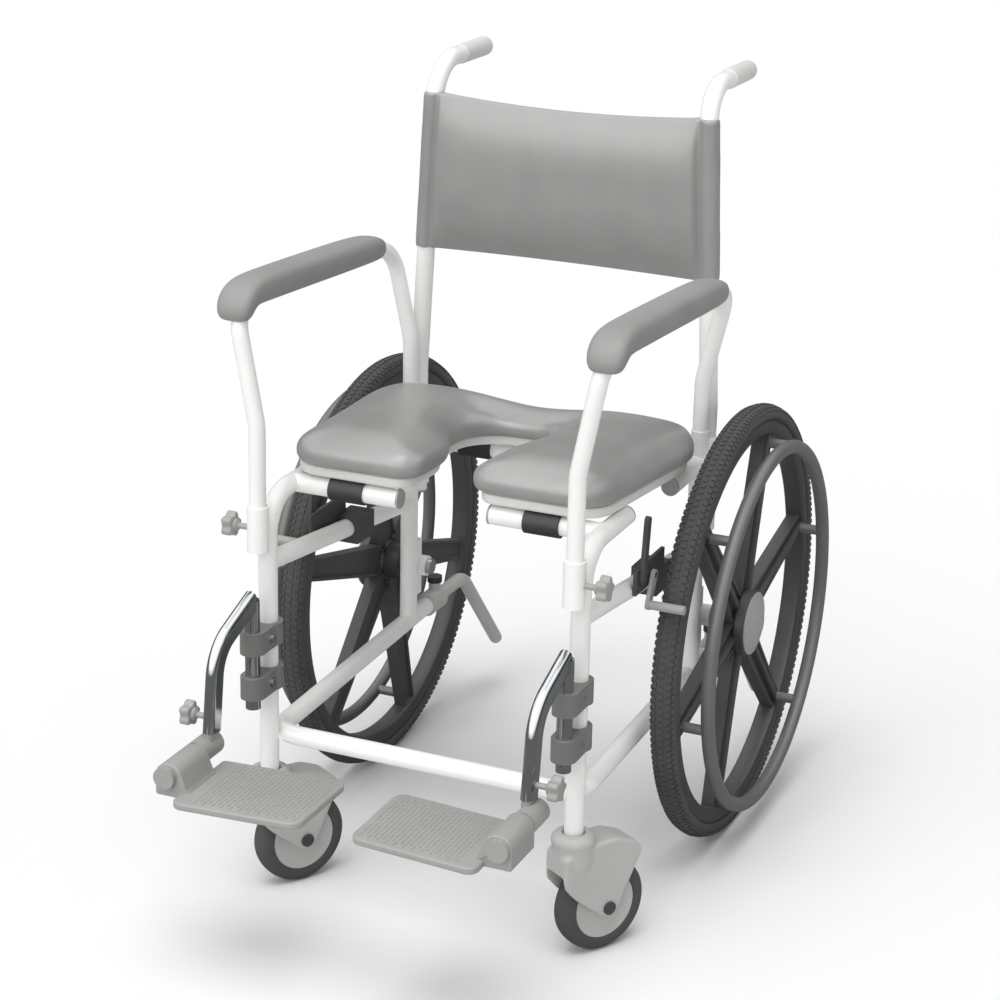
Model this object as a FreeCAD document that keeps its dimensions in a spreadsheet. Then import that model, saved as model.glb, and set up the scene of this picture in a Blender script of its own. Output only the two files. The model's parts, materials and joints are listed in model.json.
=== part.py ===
import FreeCAD, Part
import math
import os
import re

import Sketcher

# Self-propelled shower commode chair, in millimetres.
# +Z is up, the sitter faces -Y, and +X is the sitter's left. The floor is z = 0.

V = FreeCAD.Vector
doc = FreeCAD.newDocument("ShowerCommodeChair")
sheet = doc.addObject("Spreadsheet::Sheet", "Sizes")

# Driving dimensions
SIZES = {
    # clearances
    "running_fit": 0.05,
    "slide_fit": 0.1,
    "rest_gap": 0.3,
    "weld_bite": 1.0,
    # frame tubes
    "tube_d": 25,
    "tube_wall": 1.5,
    "leg_x": 217,
    "leg_y": -247,
    "leg_bottom": 162,
    "leg_bend": 55,
    "seat_tube_z": 551,
    "top_tube_end": -103,
    "stub_y": -176,
    "stub_end": 65,
    "base_z": 232,
    "base_bend": 35,
    "base_front": -234,
    "base_front_z": 220,
    "base_d": 25.6,
    "base_rear": 256,
    "gusset_w": 34,
    "gusset_t": 6,
    "rail_front_z": 464,
    "rail_rear_z": 414,
    "upright_y": 176,
    "upright_top": 585,
    "rear_rail_z": 538.5,
    "rear_rail_front": 64,
    "rear_cross_y": 104,
    "cap_t": 3,
    "cap_plug": 12,
    # rubber sleeves that carry the seat
    "sleeve_t": 3.5,
    "sleeve_w": 48,
    "front_sleeve_x": 136,
    "rear_sleeve_x": 80,
    # back posts, backrest and push handles
    "post_gap": 4,
    "post_bottom": 425,
    "post_lean_z": 610,
    "post_lean_bend": 150,
    "handle_x": 196,
    "handle_z": 1042,
    "handle_bend": 55,
    "handle_end": 366,
    "grip_len": 88,
    "grip_t": 1.2,
    "grip_end_t": 4,
    "post_bracket_h": 26,
    "post_bracket_w": 34,
    "post_bracket_low": 450,
    "post_bracket_high": 556,
    "back_bottom": 785,
    "back_top": 1003,
    "back_skin": 3,
    "back_swell": 9,
    # armrests
    "socket_wall": 3,
    "socket_bottom": 487,
    "socket_top": 547,
    "arm_wall": 1.5,
    "arm_depth_front": 55,
    "arm_depth_rear": 90,
    "arm_lean_z": 655,
    "arm_lean_bend": 90,
    "arm_top_x": 247,
    "arm_front_z": 810,
    "arm_rear_z": 786,
    "arm_bend": 42,
    "pad_w": 52,
    "pad_above": 30,
    "pad_below": 9,
    "pad_rear": 124,
    "pad_nose": 12,
    # star knobs
    "knob_r": 17,
    "knob_lobe_r": 5.5,
    "knob_lobes": 5,
    "knob_turn": 18,
    "knob_t": 14,
    "knob_shank_r": 4,
    "knob_shank_len": 20,
    "knob_tip_gap": 1.5,
    "arm_knob_z": 517,
    # seat
    "board_t": 15,
    "cushion_t": 46,
    "seat_front": -194,
    "seat_rear": 152,
    "seat_front_w": 218,
    "seat_rear_w": 242,
    "opening_front_w": 43,
    "opening_rear_w": 66,
    "opening_neck": -95,
    "opening_belly": -30,
    "opening_rear": 70,
    "seat_front_r": 46,
    "seat_rear_r": 84,
    "opening_lip_r": 30,
    "opening_neck_r": 70,
    "opening_belly_r": 50,
    "opening_rear_r": 56,
    "board_inset": 4,
    # rear wheels
    "wheel_x": 271,
    "wheel_y": 211,
    "wheel_r": 305,
    "tyre_w": 34,
    "tyre_bead": 3.4,
    "rim_seat_r": 284,
    "rim_inner_r": 262,
    "rim_w": 28,
    "rim_bevel": 5,
    "spoke_bite": 4,
    "hub_r": 27,
    "hub_inner": -32,
    "hub_outer": 24,
    "flange_r": 46,
    "flange_t": 12,
    "hub_cap_r": 44,
    "hub_cap_t": 12,
    "hub_cap_rim": 3,
    "hub_cap_face_r": 15,
    "spoke_root_w": 46,
    "spoke_tip_w": 30,
    "spoke_face": 9,
    "rib_w": 9,
    "rib_h": 5,
    "left_phase": 44,
    "right_phase": 45,
    "spoke_count": 6,
    "push_rim_r": 251,
    "push_rim_tube_r": 9.5,
    "push_rim_offset": 47,
    "peg_r": 7,
    "axle_r": 6.35,
    "axle_head_r": 11,
    "axle_head_t": 8,
    "bearing_r": 14.3,
    "bearing_w": 9,
    "axle_boss_r": 15,
    "axle_boss_inner": 203,
    "axle_boss_outer": 236,
    "axle_plate_t": 8,
    "axle_plate_h": 84,
    # casters
    "caster_r": 64,
    "caster_hub_r": 45,
    "caster_w": 32,
    "caster_hub_w": 29,
    "caster_trail": 43,
    "caster_swivel": 32,
    "caster_axle_r": 4,
    "caster_boss_r": 12,
    "caster_play": 0.3,
    "caster_head_r": 9,
    "caster_head_t": 3,
    "fork_gap": 36,
    "fork_t": 5,
    "hood_front": -26,
    "hood_rear": 96,
    "hood_top": 160,
    "hood_eave": 132,
    "hood_brow": 148,
    "hood_chin": 110,
    "hood_taper": 12,
    "fork_toe": 16,
    "hood_roof_t": 8,
    "collar_r": 29,
    "collar_top": 175,
    "collar_floor": 158,
    "collar_bottom": 128,
    "collar_gap": 1.5,
    "stem_r": 6,
    "stem_plug_len": 50,
    "stem_recess": 2,
    # brakes
    "brake_clamp_y": 0,
    "brake_clamp_len": 50,
    "brake_clamp_w": 36,
    "brake_plate_t": 5,
    "brake_plate_front": -102,
    "brake_plate_bottom": 444,
    "brake_plate_top": 478,
    "brake_pin_r": 4,
    "lever_pivot_y": -88,
    "lever_pivot_z": 462,
    "lever_len": 78,
    "lever_w": 12,
    "lever_t": 6,
    "lever_tilt": 7.5,
    "shoe_pivot_y": -62,
    "shoe_y": -80,
    "shoe_z": 427,
    "shoe_r": 6,
    "shoe_len": 52,
    "shoe_arm_t": 5,
    "shoe_arm_w": 14,
    # footrests
    "pivot_y": -290,
    "pivot_d": 20,
    "pivot_bottom": 276,
    "clamp_h": 30,
    "clamp_wall": 6.5,
    "clamp_low_z": 306,
    "clamp_high_z": 368,
    "clamp_screw_r": 3,
    "clamp_head_r": 6,
    "clamp_head_t": 4,
    "hanger_w": 16,
    "hanger_deep": 30,
    "hanger_wall": 1.5,
    "hanger_top_z": 426,
    "hanger_knee_y": -384,
    "hanger_knee_z": 390,
    "hanger_foot_y": -398,
    "hanger_foot_z": 286,
    "hanger_bend": 55,
    "extension_len": 66,
    "hinge_x": 223,
    "hinge_z": 266,
    "hinge_r": 16,
    "hinge_rear": -384,
    "hinge_split": -430,
    "hinge_front": -500,
    "hinge_pin_r": 5,
    "hinge_cap_r": 14,
    "hinge_cap_t": 8,
    "plate_t": 10,
    "plate_z": 238,
    "plate_inner": 34,
    "plate_outer": 204,
    "plate_front": -514,
    "plate_rear": -378,
    "plate_skew": 14,
    "plate_corner": 18,
    "foot_knob_z": 304,
    # anti-tip tubes
    "tip_d": 20,
    "tip_wall": 2,
    "tip_bracket_r": 17,
    "tip_bracket_len": 42,
    "tip_boss_r": 9,
    "tip_boss_h": 10,
    "tip_bend_y": 366,
    "tip_bend": 45,
    "tip_end_y": 500,
    "tip_end_z": 84,
    "tip_knob_r": 11,
    "tip_knob_t": 9,
    "tip_pin_r": 3,
}
for row, (alias, number) in enumerate(SIZES.items(), start=1):
    sheet.set(f"A{row}", alias)
    sheet.set(f"B{row}", str(number))
    sheet.setAlias(f"B{row}", alias)
doc.recompute()


class SheetValues:
    """Reads a driving dimension back from the sheet by its alias."""

    def __getattr__(self, alias):
        return float(sheet.get(alias))


s = SheetValues()
nodes = {}


# Helpers

def formula(text):
    """Turns words such as tube_d / 2 into an expression on the sheet."""
    return re.sub(r"[a-z]\w*", lambda word: "Sizes." + word.group(), text)


def node(label, piece):
    """Names a finished sub-part and notes it for export."""
    piece.Label = label
    nodes[label] = piece
    return piece


def turned(direction):
    """Rotation that takes the Z axis to a direction."""
    return FreeCAD.Rotation(V(0, 0, 1), V(*direction))


def cylinder(name, radius, height, base, along=(0, 0, 1)):
    """Round bar whose radius and height are formulas; base is the centre of its first end."""
    bar = doc.addObject("Part::Cylinder", name)
    bar.setExpression("Radius", formula(radius))
    bar.setExpression("Height", formula(height))
    bar.Placement = FreeCAD.Placement(V(*base), turned(along))
    return bar


def box(name, length, width, height, corner):
    """Block whose three sizes are formulas, from its lowest corner."""
    block = doc.addObject("Part::Box", name)
    block.setExpression("Length", formula(length))
    block.setExpression("Width", formula(width))
    block.setExpression("Height", formula(height))
    block.Placement.Base = V(*corner)
    return block


def fuse(name, pieces):
    joined = doc.addObject("Part::MultiFuse", name)
    joined.Shapes = pieces
    return joined


def cut(name, base, tools):
    tool = tools[0] if len(tools) == 1 else fuse(name + "_tools", tools)
    trimmed = doc.addObject("Part::Cut", name)
    trimmed.Base = base
    trimmed.Tool = tool
    return trimmed


def mirrored(name, source):
    """The same piece on the other side of the chair."""
    twin = doc.addObject("Part::Mirroring", name)
    twin.Source = source
    twin.Normal = V(1, 0, 0)
    return twin


def group(name, pieces):
    """Separate solids that share one node."""
    gathered = doc.addObject("Part::Compound", name)
    gathered.Links = pieces
    return gathered


def both_sides(label, left_piece):
    """Two nodes, left_* from the +X piece and right_* as its twin on the -X side."""
    node("left_" + label, left_piece)
    node("right_" + label, mirrored(left_piece.Name + "_twin", left_piece))


def bent_path(corners, bends):
    """Straight runs between corner points, with a round bend at each inner corner."""
    edges = []
    start = corners[0]
    for before, corner, after, radius in zip(corners, corners[1:], corners[2:], bends):
        back = (before - corner).normalize()
        ahead = (after - corner).normalize()
        half_angle = back.getAngle(ahead) / 2
        reach = radius / math.tan(half_angle)
        sag = radius / math.sin(half_angle) - radius
        first = corner + back * reach
        last = corner + ahead * reach
        middle = corner + (back + ahead).normalize() * sag
        edges.append(Part.makeLine(start, first))
        edges.append(Part.Arc(first, middle, last).toShape())
        start = last
    edges.append(Part.makeLine(start, corners[-1]))
    return Part.Wire(edges)


def swept(name, section, corners, bends):
    """Solid bar that carries a section along a bent path."""
    line = doc.addObject("Part::Feature", name + "_line")
    line.Shape = bent_path(corners, bends)
    bar = doc.addObject("Part::Sweep", name)
    bar.Sections = [section]
    bar.Spine = (line, [f"Edge{i}" for i in range(1, len(line.Shape.Edges) + 1)])
    bar.Solid = True
    return bar


def round_bar(name, radius, corners, bends=(), seam=0):
    """Bent round bar; its radius is a formula, and seam turns the line where its surface closes."""
    corners = [V(*corner) for corner in corners]
    ring = doc.addObject("Part::Circle", name + "_ring")
    ring.setExpression("Radius", formula(radius))
    ring_turn = turned(corners[1] - corners[0]).multiply(FreeCAD.Rotation(V(0, 0, 1), seam))
    ring.Placement = FreeCAD.Placement(corners[0], ring_turn)
    return swept(name, ring, corners, bends)


def tube(name, diameter, wall, corners, bends=()):
    """Bent hollow tube."""
    outside = round_bar(name + "_outside", f"{diameter} / 2", corners, bends)
    inside = round_bar(name + "_inside", f"{diameter} / 2 - {wall}", corners, bends)
    return cut(name, outside, [inside])


def new_body(name):
    return doc.addObject("PartDesign::Body", name)


def outline(body, name, plane_role, corners):
    """Closed sketch whose corner coordinates are formulas on the sheet."""
    profile = body.newObject("Sketcher::SketchObject", name)
    plane = next(part for part in body.Origin.OriginFeatures if part.Role == plane_role)
    profile.AttachmentSupport = [(plane, "")]
    profile.MapMode = "FlatFace"
    count = len(corners)
    for i in range(count):
        turn = 2 * math.pi * i / count
        profile.addGeometry(Part.LineSegment(
            V(math.cos(turn), math.sin(turn), 0), V(math.cos(turn + 1), math.sin(turn + 1), 0)))
    for i in range(count):
        profile.addConstraint(Sketcher.Constraint("Coincident", i, 2, (i + 1) % count, 1))
    for i, (across, up) in enumerate(corners):
        for kind, text in (("DistanceX", across), ("DistanceY", up)):
            constraint = profile.addConstraint(Sketcher.Constraint(kind, i, 1, 1.0))
            profile.setExpression(f"Constraints[{constraint}]", formula(text))
    return profile


def revolved(body, name, corners):
    """Turns a (radius, height) outline about the body's Z axis."""
    profile = outline(body, name + "_profile", "XZ_Plane", corners)
    feature = body.newObject("PartDesign::Revolution", name)
    feature.Profile = profile
    feature.ReferenceAxis = (profile, ["V_Axis"])
    feature.Angle = 360
    doc.recompute()
    body.Tip = feature
    return feature


def padded(body, name, plane_role, corners, length, symmetric=False):
    """Pads an outline; the length is a formula."""
    feature = body.newObject("PartDesign::Pad", name)
    feature.Profile = outline(body, name + "_outline", plane_role, corners)
    feature.setExpression("Length", formula(length))
    if symmetric:
        feature.SideType = "Symmetric"
    doc.recompute()
    body.Tip = feature
    return feature


def slotted(body, name, plane_role, corners, width):
    """Cuts a slot of an even width through the middle of a body."""
    feature = body.newObject("PartDesign::Pocket", name)
    feature.Profile = outline(body, name + "_outline", plane_role, corners)
    feature.setExpression("Length", formula(width))
    feature.SideType = "Symmetric"
    doc.recompute()
    body.Tip = feature
    return body


def ringed(body, names, count):
    """Repeats features of a body about its Z axis."""
    axis = next(part for part in body.Origin.OriginFeatures if part.Role == "Z_Axis")
    pattern = body.newObject("PartDesign::PolarPattern", names[0].Name + "_ring")
    pattern.Originals = names
    pattern.Axis = (axis, [""])
    pattern.Angle = 360
    pattern.setExpression("Occurrences", formula(count))
    body.Tip = pattern
    doc.recompute()
    return pattern


def turned_piece(name, corners):
    """One revolved piece about its own Z axis."""
    body = new_body(name)
    revolved(body, name + "_turn", corners)
    return body


def loft(name, wires, ruled=False):
    """Soft solid through a stack of closed wires."""
    piece = doc.addObject("Part::Feature", name)
    piece.Shape = Part.makeLoft(wires, True, ruled)
    return piece


tube_r = s.tube_d / 2
bore_r = tube_r - s.tube_wall
arm_d = s.tube_d - 2 * s.tube_wall - 2 * s.slide_fit
ARM_D = "(tube_d - 2 * tube_wall - 2 * slide_fit)"
socket_d = s.tube_d - 2 * s.tube_wall + 2 * s.socket_wall
socket_y = s.leg_y - (s.tube_d + socket_d) / 2 + s.weld_bite
post_y = s.upright_y + s.tube_d + s.post_gap


# Lower frame: one U-shaped tube

base_corners = [
    (s.leg_x, s.base_rear, s.base_z),
    (s.leg_x, s.base_front, s.base_front_z),
    (-s.leg_x, s.base_front, s.base_front_z),
    (-s.leg_x, s.base_rear, s.base_z),
]
base_bends = [s.base_bend, s.base_bend]
base_outside = round_bar("base_outside", "base_d / 2", base_corners, base_bends)
base_inside = round_bar("base_inside", "base_d / 2 - tube_wall", base_corners, base_bends)
node("base_tube", cut("base_tube_piece", base_outside, [base_inside]))


# Back posts: they stand behind the uprights and end in the push handles

post_corners = [
    (s.leg_x, post_y, s.post_bottom),
    (s.leg_x, post_y, s.post_lean_z),
    (s.handle_x, post_y, s.handle_z),
    (s.handle_x, s.handle_end, s.handle_z),
]
post_bends = [s.post_lean_bend, s.handle_bend]
post_outside = round_bar("post_outside", "tube_d / 2", post_corners, post_bends)
post_inside = round_bar("post_inside", "tube_d / 2 - tube_wall", post_corners, post_bends)
both_sides("back_post", cut("back_post_piece", post_outside, [post_inside]))


# Side frames: each is one weldment of leg, rails, upright, seat stub and armrest socket

frame_members = {
    "leg": ([
        (s.leg_x, s.leg_y, s.leg_bottom),
        (s.leg_x, s.leg_y, s.seat_tube_z),
        (s.leg_x, s.top_tube_end, s.seat_tube_z)], [s.leg_bend]),
    "seat_stub": ([
        (s.leg_x, s.stub_y, s.seat_tube_z),
        (s.stub_end, s.stub_y, s.seat_tube_z)], []),
    "upper_rail": ([
        (s.leg_x, s.leg_y, s.rail_front_z),
        (s.leg_x, s.upright_y, s.rail_rear_z)], []),
    "upright": ([
        (s.leg_x, s.upright_y, s.base_z),
        (s.leg_x, s.upright_y, s.upright_top)], []),
    "rear_rail": ([
        (s.leg_x, s.upright_y, s.rear_rail_z),
        (s.leg_x, s.rear_rail_front, s.rear_rail_z)], []),
}


def rail_height(y):
    """Height of the upper rail's axis."""
    share = (y - s.leg_y) / (s.upright_y - s.leg_y)
    return s.rail_front_z + share * (s.rail_rear_z - s.rail_front_z)


# The bores of the two rails stop short of the upright, whose wall stays whole
upright_front = s.upright_y - s.tube_d / 2 - s.tube_wall
bore_ends = {
    "upper_rail": [
        (s.leg_x, s.leg_y, s.rail_front_z), (s.leg_x, upright_front, rail_height(upright_front))],
    "rear_rail": [
        (s.leg_x, upright_front, s.rear_rail_z), (s.leg_x, s.rear_rail_front, s.rear_rail_z)],
}
# The upright's surface closes at the back, where no rail touches it
seams = {"upright": 90}
member_outsides = {}
member_insides = {}
for member, (corners, bends) in frame_members.items():
    seam = seams.get(member, 0)
    member_outsides[member] = round_bar(member + "_outside", "tube_d / 2", corners, bends, seam)
    member_insides[member] = round_bar(
        member + "_inside", "tube_d / 2 - tube_wall", bore_ends.get(member, corners), bends, seam)

arm_socket = cylinder(
    "arm_socket", "tube_d / 2 - tube_wall + socket_wall", "socket_top - socket_bottom",
    (s.leg_x, socket_y, s.socket_bottom))
arm_socket_bore = cylinder(
    "arm_socket_bore", "tube_d / 2 - tube_wall", "socket_top - socket_bottom",
    (s.leg_x, socket_y, s.socket_bottom))
arm_knob_hole = cylinder(
    "arm_knob_hole", "knob_shank_r + running_fit", "tube_d",
    (s.leg_x + bore_r - s.weld_bite, socket_y, s.arm_knob_z), (1, 0, 0))
gusset = box(
    "gusset", "gusset_w", "base_front - leg_y", "gusset_t",
    (s.leg_x - s.gusset_w, s.leg_y, s.base_front_z - s.gusset_t / 2))
post_brackets = [
    box(f"post_bracket_{level}", "post_bracket_w", "tube_d + post_gap", "post_bracket_h",
        (s.leg_x - s.post_bracket_w / 2, s.upright_y, height - s.post_bracket_h / 2))
    for level, height in (("low", s.post_bracket_low), ("high", s.post_bracket_high))
]
side_frame_outside = fuse(
    "side_frame_outside", list(member_outsides.values()) + [arm_socket, gusset] + post_brackets)
side_frame = cut(
    "side_frame", side_frame_outside,
    list(member_insides.values()) + [arm_socket_bore, arm_knob_hole, base_outside, post_outside])
both_sides("side_frame", side_frame)


# Rear cross tube between the two rear rails

cross_ends = [(s.leg_x, s.rear_cross_y, s.rear_rail_z), (-s.leg_x, s.rear_cross_y, s.rear_rail_z)]
rear_rail_twin = mirrored("rear_rail_twin", member_outsides["rear_rail"])
node("rear_cross_tube", cut(
    "rear_cross_piece", tube("rear_cross", "tube_d", "tube_wall", cross_ends),
    [member_outsides["rear_rail"], rear_rail_twin]))


# Plastic plugs in the open tube ends

def end_cap(name, end, outward):
    """Disc over a tube end, with a plug inside the tube."""
    end = V(*end)
    outward = V(*outward)
    disc = cylinder(name + "_disc", "tube_d / 2", "cap_t", end, outward)
    plug = cylinder(
        name + "_plug", "tube_d / 2 - tube_wall - slide_fit", "cap_plug + cap_t",
        end - outward * s.cap_plug, outward)
    return fuse(name, [disc, plug])


left_caps = [
    end_cap("stub_cap", (s.stub_end, s.stub_y, s.seat_tube_z), (-1, 0, 0)),
    end_cap("top_tube_cap", (s.leg_x, s.top_tube_end, s.seat_tube_z), (0, 1, 0)),
    end_cap("rear_rail_cap", (s.leg_x, s.rear_rail_front, s.rear_rail_z), (0, -1, 0)),
    end_cap("post_cap", (s.leg_x, post_y, s.post_bottom), (0, 0, -1)),
]
node("tube_end_caps", group(
    "cap_group", left_caps + [mirrored(cap.Name + "_twin", cap) for cap in left_caps]))


# Rubber sleeves under the seat

def seat_sleeve(name, x, y, z):
    start = (x - s.sleeve_w / 2, y, z)
    outside = cylinder(name + "_outside", "tube_d / 2 + sleeve_t", "sleeve_w", start, (1, 0, 0))
    inside = cylinder(name + "_inside", "tube_d / 2", "sleeve_w", start, (1, 0, 0))
    return cut(name, outside, [inside])


node("seat_sleeves", group("sleeve_group", [
    seat_sleeve("front_sleeve_a", s.front_sleeve_x, s.stub_y, s.seat_tube_z),
    seat_sleeve("front_sleeve_b", -s.front_sleeve_x, s.stub_y, s.seat_tube_z),
    seat_sleeve("rear_sleeve_a", s.rear_sleeve_x, s.rear_cross_y, s.rear_rail_z),
    seat_sleeve("rear_sleeve_b", -s.rear_sleeve_x, s.rear_cross_y, s.rear_rail_z),
]))


# Push grips

grip_start = (s.handle_x, s.handle_end + s.grip_end_t - s.grip_len, s.handle_z)
grip_outside = cylinder("grip_outside", "tube_d / 2 + grip_t", "grip_len", grip_start, (0, 1, 0))
grip_bore = cylinder("grip_bore", "tube_d / 2", "grip_len - grip_end_t", grip_start, (0, 1, 0))
grip = cut("grip", grip_outside, [grip_bore])
node("push_grips", group("grip_group", [grip, mirrored("grip_twin", grip)]))


# Backrest: a padded sleeve over the two posts

def back_section(height, swell):
    """One level of the backrest: a flat loop round both posts, fuller in the middle."""
    lean = (height - s.post_lean_z) / (s.handle_z - s.post_lean_z)
    post_x = s.leg_x + (s.handle_x - s.leg_x) * lean
    wrap = tube_r + s.back_skin
    bevel = wrap * math.sqrt(0.5)

    def point(x, y):
        return V(x, post_y + y, height)

    arcs = [
        (point(-post_x, -wrap), point(0, -wrap - swell), point(post_x, -wrap)),
        (point(post_x, -wrap), point(post_x + bevel, -bevel), point(post_x + wrap, 0)),
        (point(post_x + wrap, 0), point(post_x + bevel, bevel), point(post_x, wrap)),
        (point(post_x, wrap), point(0, wrap + swell / 2), point(-post_x, wrap)),
        (point(-post_x, wrap), point(-post_x - bevel, bevel), point(-post_x - wrap, 0)),
        (point(-post_x - wrap, 0), point(-post_x - bevel, -bevel), point(-post_x, -wrap)),
    ]
    return Part.Wire([Part.Arc(*arc).toShape() for arc in arcs])


# Share of the backrest's height, and share of its swell there
BACK_LEVELS = ((0, 0.35), (0.2, 0.8), (0.5, 1), (0.8, 0.8), (1, 0.35))
back_height = s.back_top - s.back_bottom
back_form = loft("back_form", [
    back_section(s.back_bottom + share * back_height, fullness * s.back_swell)
    for share, fullness in BACK_LEVELS])
post_outside_twin = mirrored("post_outside_twin", post_outside)
node("backrest_cover", cut("backrest_piece", back_form, [post_outside, post_outside_twin]))


# Armrests: an inverted U of tube that plugs into socket and upright

arm_corners = [
    (s.leg_x, socket_y, s.socket_top - s.arm_depth_front),
    (s.leg_x, socket_y, s.arm_lean_z),
    (s.arm_top_x, socket_y, s.arm_front_z),
    (s.arm_top_x, s.upright_y, s.arm_rear_z),
    (s.leg_x, s.upright_y, s.arm_lean_z),
    (s.leg_x, s.upright_y, s.upright_top - s.arm_depth_rear),
]
arm_bends = [s.arm_lean_bend, s.arm_bend, s.arm_bend, s.arm_lean_bend]
arm_outside = round_bar("arm_outside", ARM_D + " / 2", arm_corners, arm_bends)
arm_inside = round_bar("arm_inside", ARM_D + " / 2 - arm_wall", arm_corners, arm_bends)
both_sides("armrest_tube", cut("armrest_tube_piece", arm_outside, [arm_inside]))


def pad_section(y, z, tilt, width, height):
    """Rounded cross-section of the armrest pad; tilt turns it down over the front bend."""
    half_w = width / 2
    half_h = height / 2
    corner = 0.7 * half_h
    nip = corner * (1 - math.sqrt(0.5))
    edges = []
    for turn_x, turn_z in ((1, 1), (-1, 1), (-1, -1), (1, -1)):
        along = V(turn_x * (half_w - corner), 0, turn_z * half_h)
        beside = V(turn_x * half_w, 0, turn_z * (half_h - corner))
        middle = V(turn_x * (half_w - nip), 0, turn_z * (half_h - nip))
        ends = (beside, along) if turn_x == turn_z else (along, beside)
        edges.append(Part.Arc(ends[0], middle, ends[1]).toShape())
    runs = [
        Part.makeLine(first.Vertexes[-1].Point, second.Vertexes[0].Point)
        for first, second in zip(edges, edges[1:] + edges[:1])
    ]
    section = Part.Wire([edge for pair in zip(edges, runs) for edge in pair])
    section.rotate(V(0, 0, 0), V(1, 0, 0), tilt)
    section.translate(V(s.arm_top_x, y, z))
    return section


def arm_height(y):
    """Height of the armrest tube's axis along its sloping top run."""
    share = (y - socket_y) / (s.upright_y - socket_y)
    return s.arm_front_z + share * (s.arm_rear_z - s.arm_front_z)


pad_h = s.pad_above + s.pad_below
pad_rise = (s.pad_above - s.pad_below) / 2
pad_run = s.pad_rear - socket_y
# Straight run: share of the way forward, width share, height share, all along the sloping tube
PAD_RUN = (
    (0, 0.7, 0.6), (0.035, 0.94, 0.9), (0.13, 1, 0.96), (0.25, 1, 1), (0.37, 1, 1),
    (0.49, 1, 1), (0.61, 1, 1), (0.73, 1, 1), (0.84, 1, 1))
# Nose: way back from the front tube and height above it in nose sizes, tilt, width and height share
PAD_NOSE = (
    (2.6, 0.95, 8, 1, 0.98), (1.2, 0.55, 36, 1, 0.92), (0.5, -0.2, 64, 0.98, 0.86),
    (0.2, -1, 84, 0.92, 0.8), (0.2, -1.8, 90, 0.7, 0.64))
pad_wires = []
for share, wide, high in PAD_RUN:
    y = s.pad_rear - share * pad_run
    pad_wires.append(pad_section(y, arm_height(y) + pad_rise, 0, wide * s.pad_w, high * pad_h))
for back, lift, tilt, wide, high in PAD_NOSE:
    y = socket_y + back * s.pad_nose
    z = s.arm_front_z + lift * s.pad_nose
    pad_wires.append(pad_section(y, z, tilt, wide * s.pad_w, high * pad_h))
pad_form = loft("pad_form", pad_wires)
both_sides("armrest_pad", cut("armrest_pad_piece", pad_form, [arm_outside]))


# Star knobs that lock the armrests and footrests

def star_knob(name, seat_x, y, z):
    """Lobed knob on a threaded shank that ends at seat_x; it points along +X."""
    face_x = seat_x + s.knob_shank_len
    shank = cylinder(
        name + "_shank", "knob_shank_r", "knob_shank_len + knob_t / 2", (seat_x, y, z), (1, 0, 0))
    hub = cylinder(name + "_hub", "knob_r - knob_lobe_r", "knob_t", (face_x, y, z), (1, 0, 0))
    lobes = []
    for i in range(int(s.knob_lobes)):
        turn = 2 * math.pi * i / s.knob_lobes + math.radians(s.knob_turn)
        reach = s.knob_r - s.knob_lobe_r
        centre = (face_x, y + reach * math.cos(turn), z + reach * math.sin(turn))
        lobes.append(cylinder(f"{name}_lobe_{i}", "knob_lobe_r", "knob_t", centre, (1, 0, 0)))
    return fuse(name, [shank, hub] + lobes)


both_sides("armrest_knob", star_knob(
    "arm_knob", s.leg_x + arm_d / 2 + s.knob_tip_gap, socket_y, s.arm_knob_z))


# Seat: board and horseshoe cushion, tilted back to lie on the four sleeves

def seat_outline(height, inset):
    """Horseshoe in plan, drawn in by an inset, at a height above the board's underside."""
    half = [
        (s.opening_front_w, s.seat_front, s.opening_lip_r),
        (s.seat_front_w, s.seat_front, s.seat_front_r),
        (s.seat_rear_w, s.seat_rear, s.seat_rear_r),
    ]
    hole = [
        (s.opening_front_w, s.opening_neck, s.opening_neck_r),
        (s.opening_rear_w, s.opening_belly, s.opening_belly_r),
        (s.opening_rear_w, s.opening_rear, s.opening_rear_r),
    ]
    right = half
    left = [(-x, y, r) for x, y, r in reversed(half)]
    left_hole = [(-x, y, r) for x, y, r in hole]
    right_hole = list(reversed(hole))
    ring = right + left + left_hole + right_hole
    start = V(0, s.seat_rear, 0)
    first = ring.index(left[0])
    ordered = ring[first:] + ring[:first]
    corners = [start] + [V(x, y, 0) for x, y, r in ordered] + [start]
    path = bent_path(corners, [r for x, y, r in ordered])
    if inset:
        path = path.makeOffset2D(-inset)
    path.translate(V(0, 0, height))
    return path


seat_tilt = math.degrees(math.atan2(s.seat_tube_z - s.rear_rail_z, s.rear_cross_y - s.stub_y))
seat_lift = tube_r + s.sleeve_t + s.rest_gap
tilt_turn = FreeCAD.Rotation(V(1, 0, 0), -seat_tilt)
seat_origin = V(0, s.stub_y, s.seat_tube_z) + tilt_turn.multVec(V(0, -s.stub_y, seat_lift))
seat_place = FreeCAD.Placement(seat_origin, tilt_turn)

seat_board = loft("seat_board_piece", [
    seat_outline(0, s.board_inset), seat_outline(s.board_t, s.board_inset)], True)
seat_board.Placement = seat_place
node("seat_board", seat_board)

# Share of the cushion's height, and how far its outline is drawn in there
CUSHION_LEVELS = ((0, 3), (0.22, 0), (0.55, 1.5), (0.85, 10), (1, 25))
seat_cushion = loft("seat_cushion_piece", [
    seat_outline(s.board_t + share * s.cushion_t, inset) for share, inset in CUSHION_LEVELS])
seat_cushion.Placement = seat_place
node("seat_cushion", seat_cushion)


# Rear wheels

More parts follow.
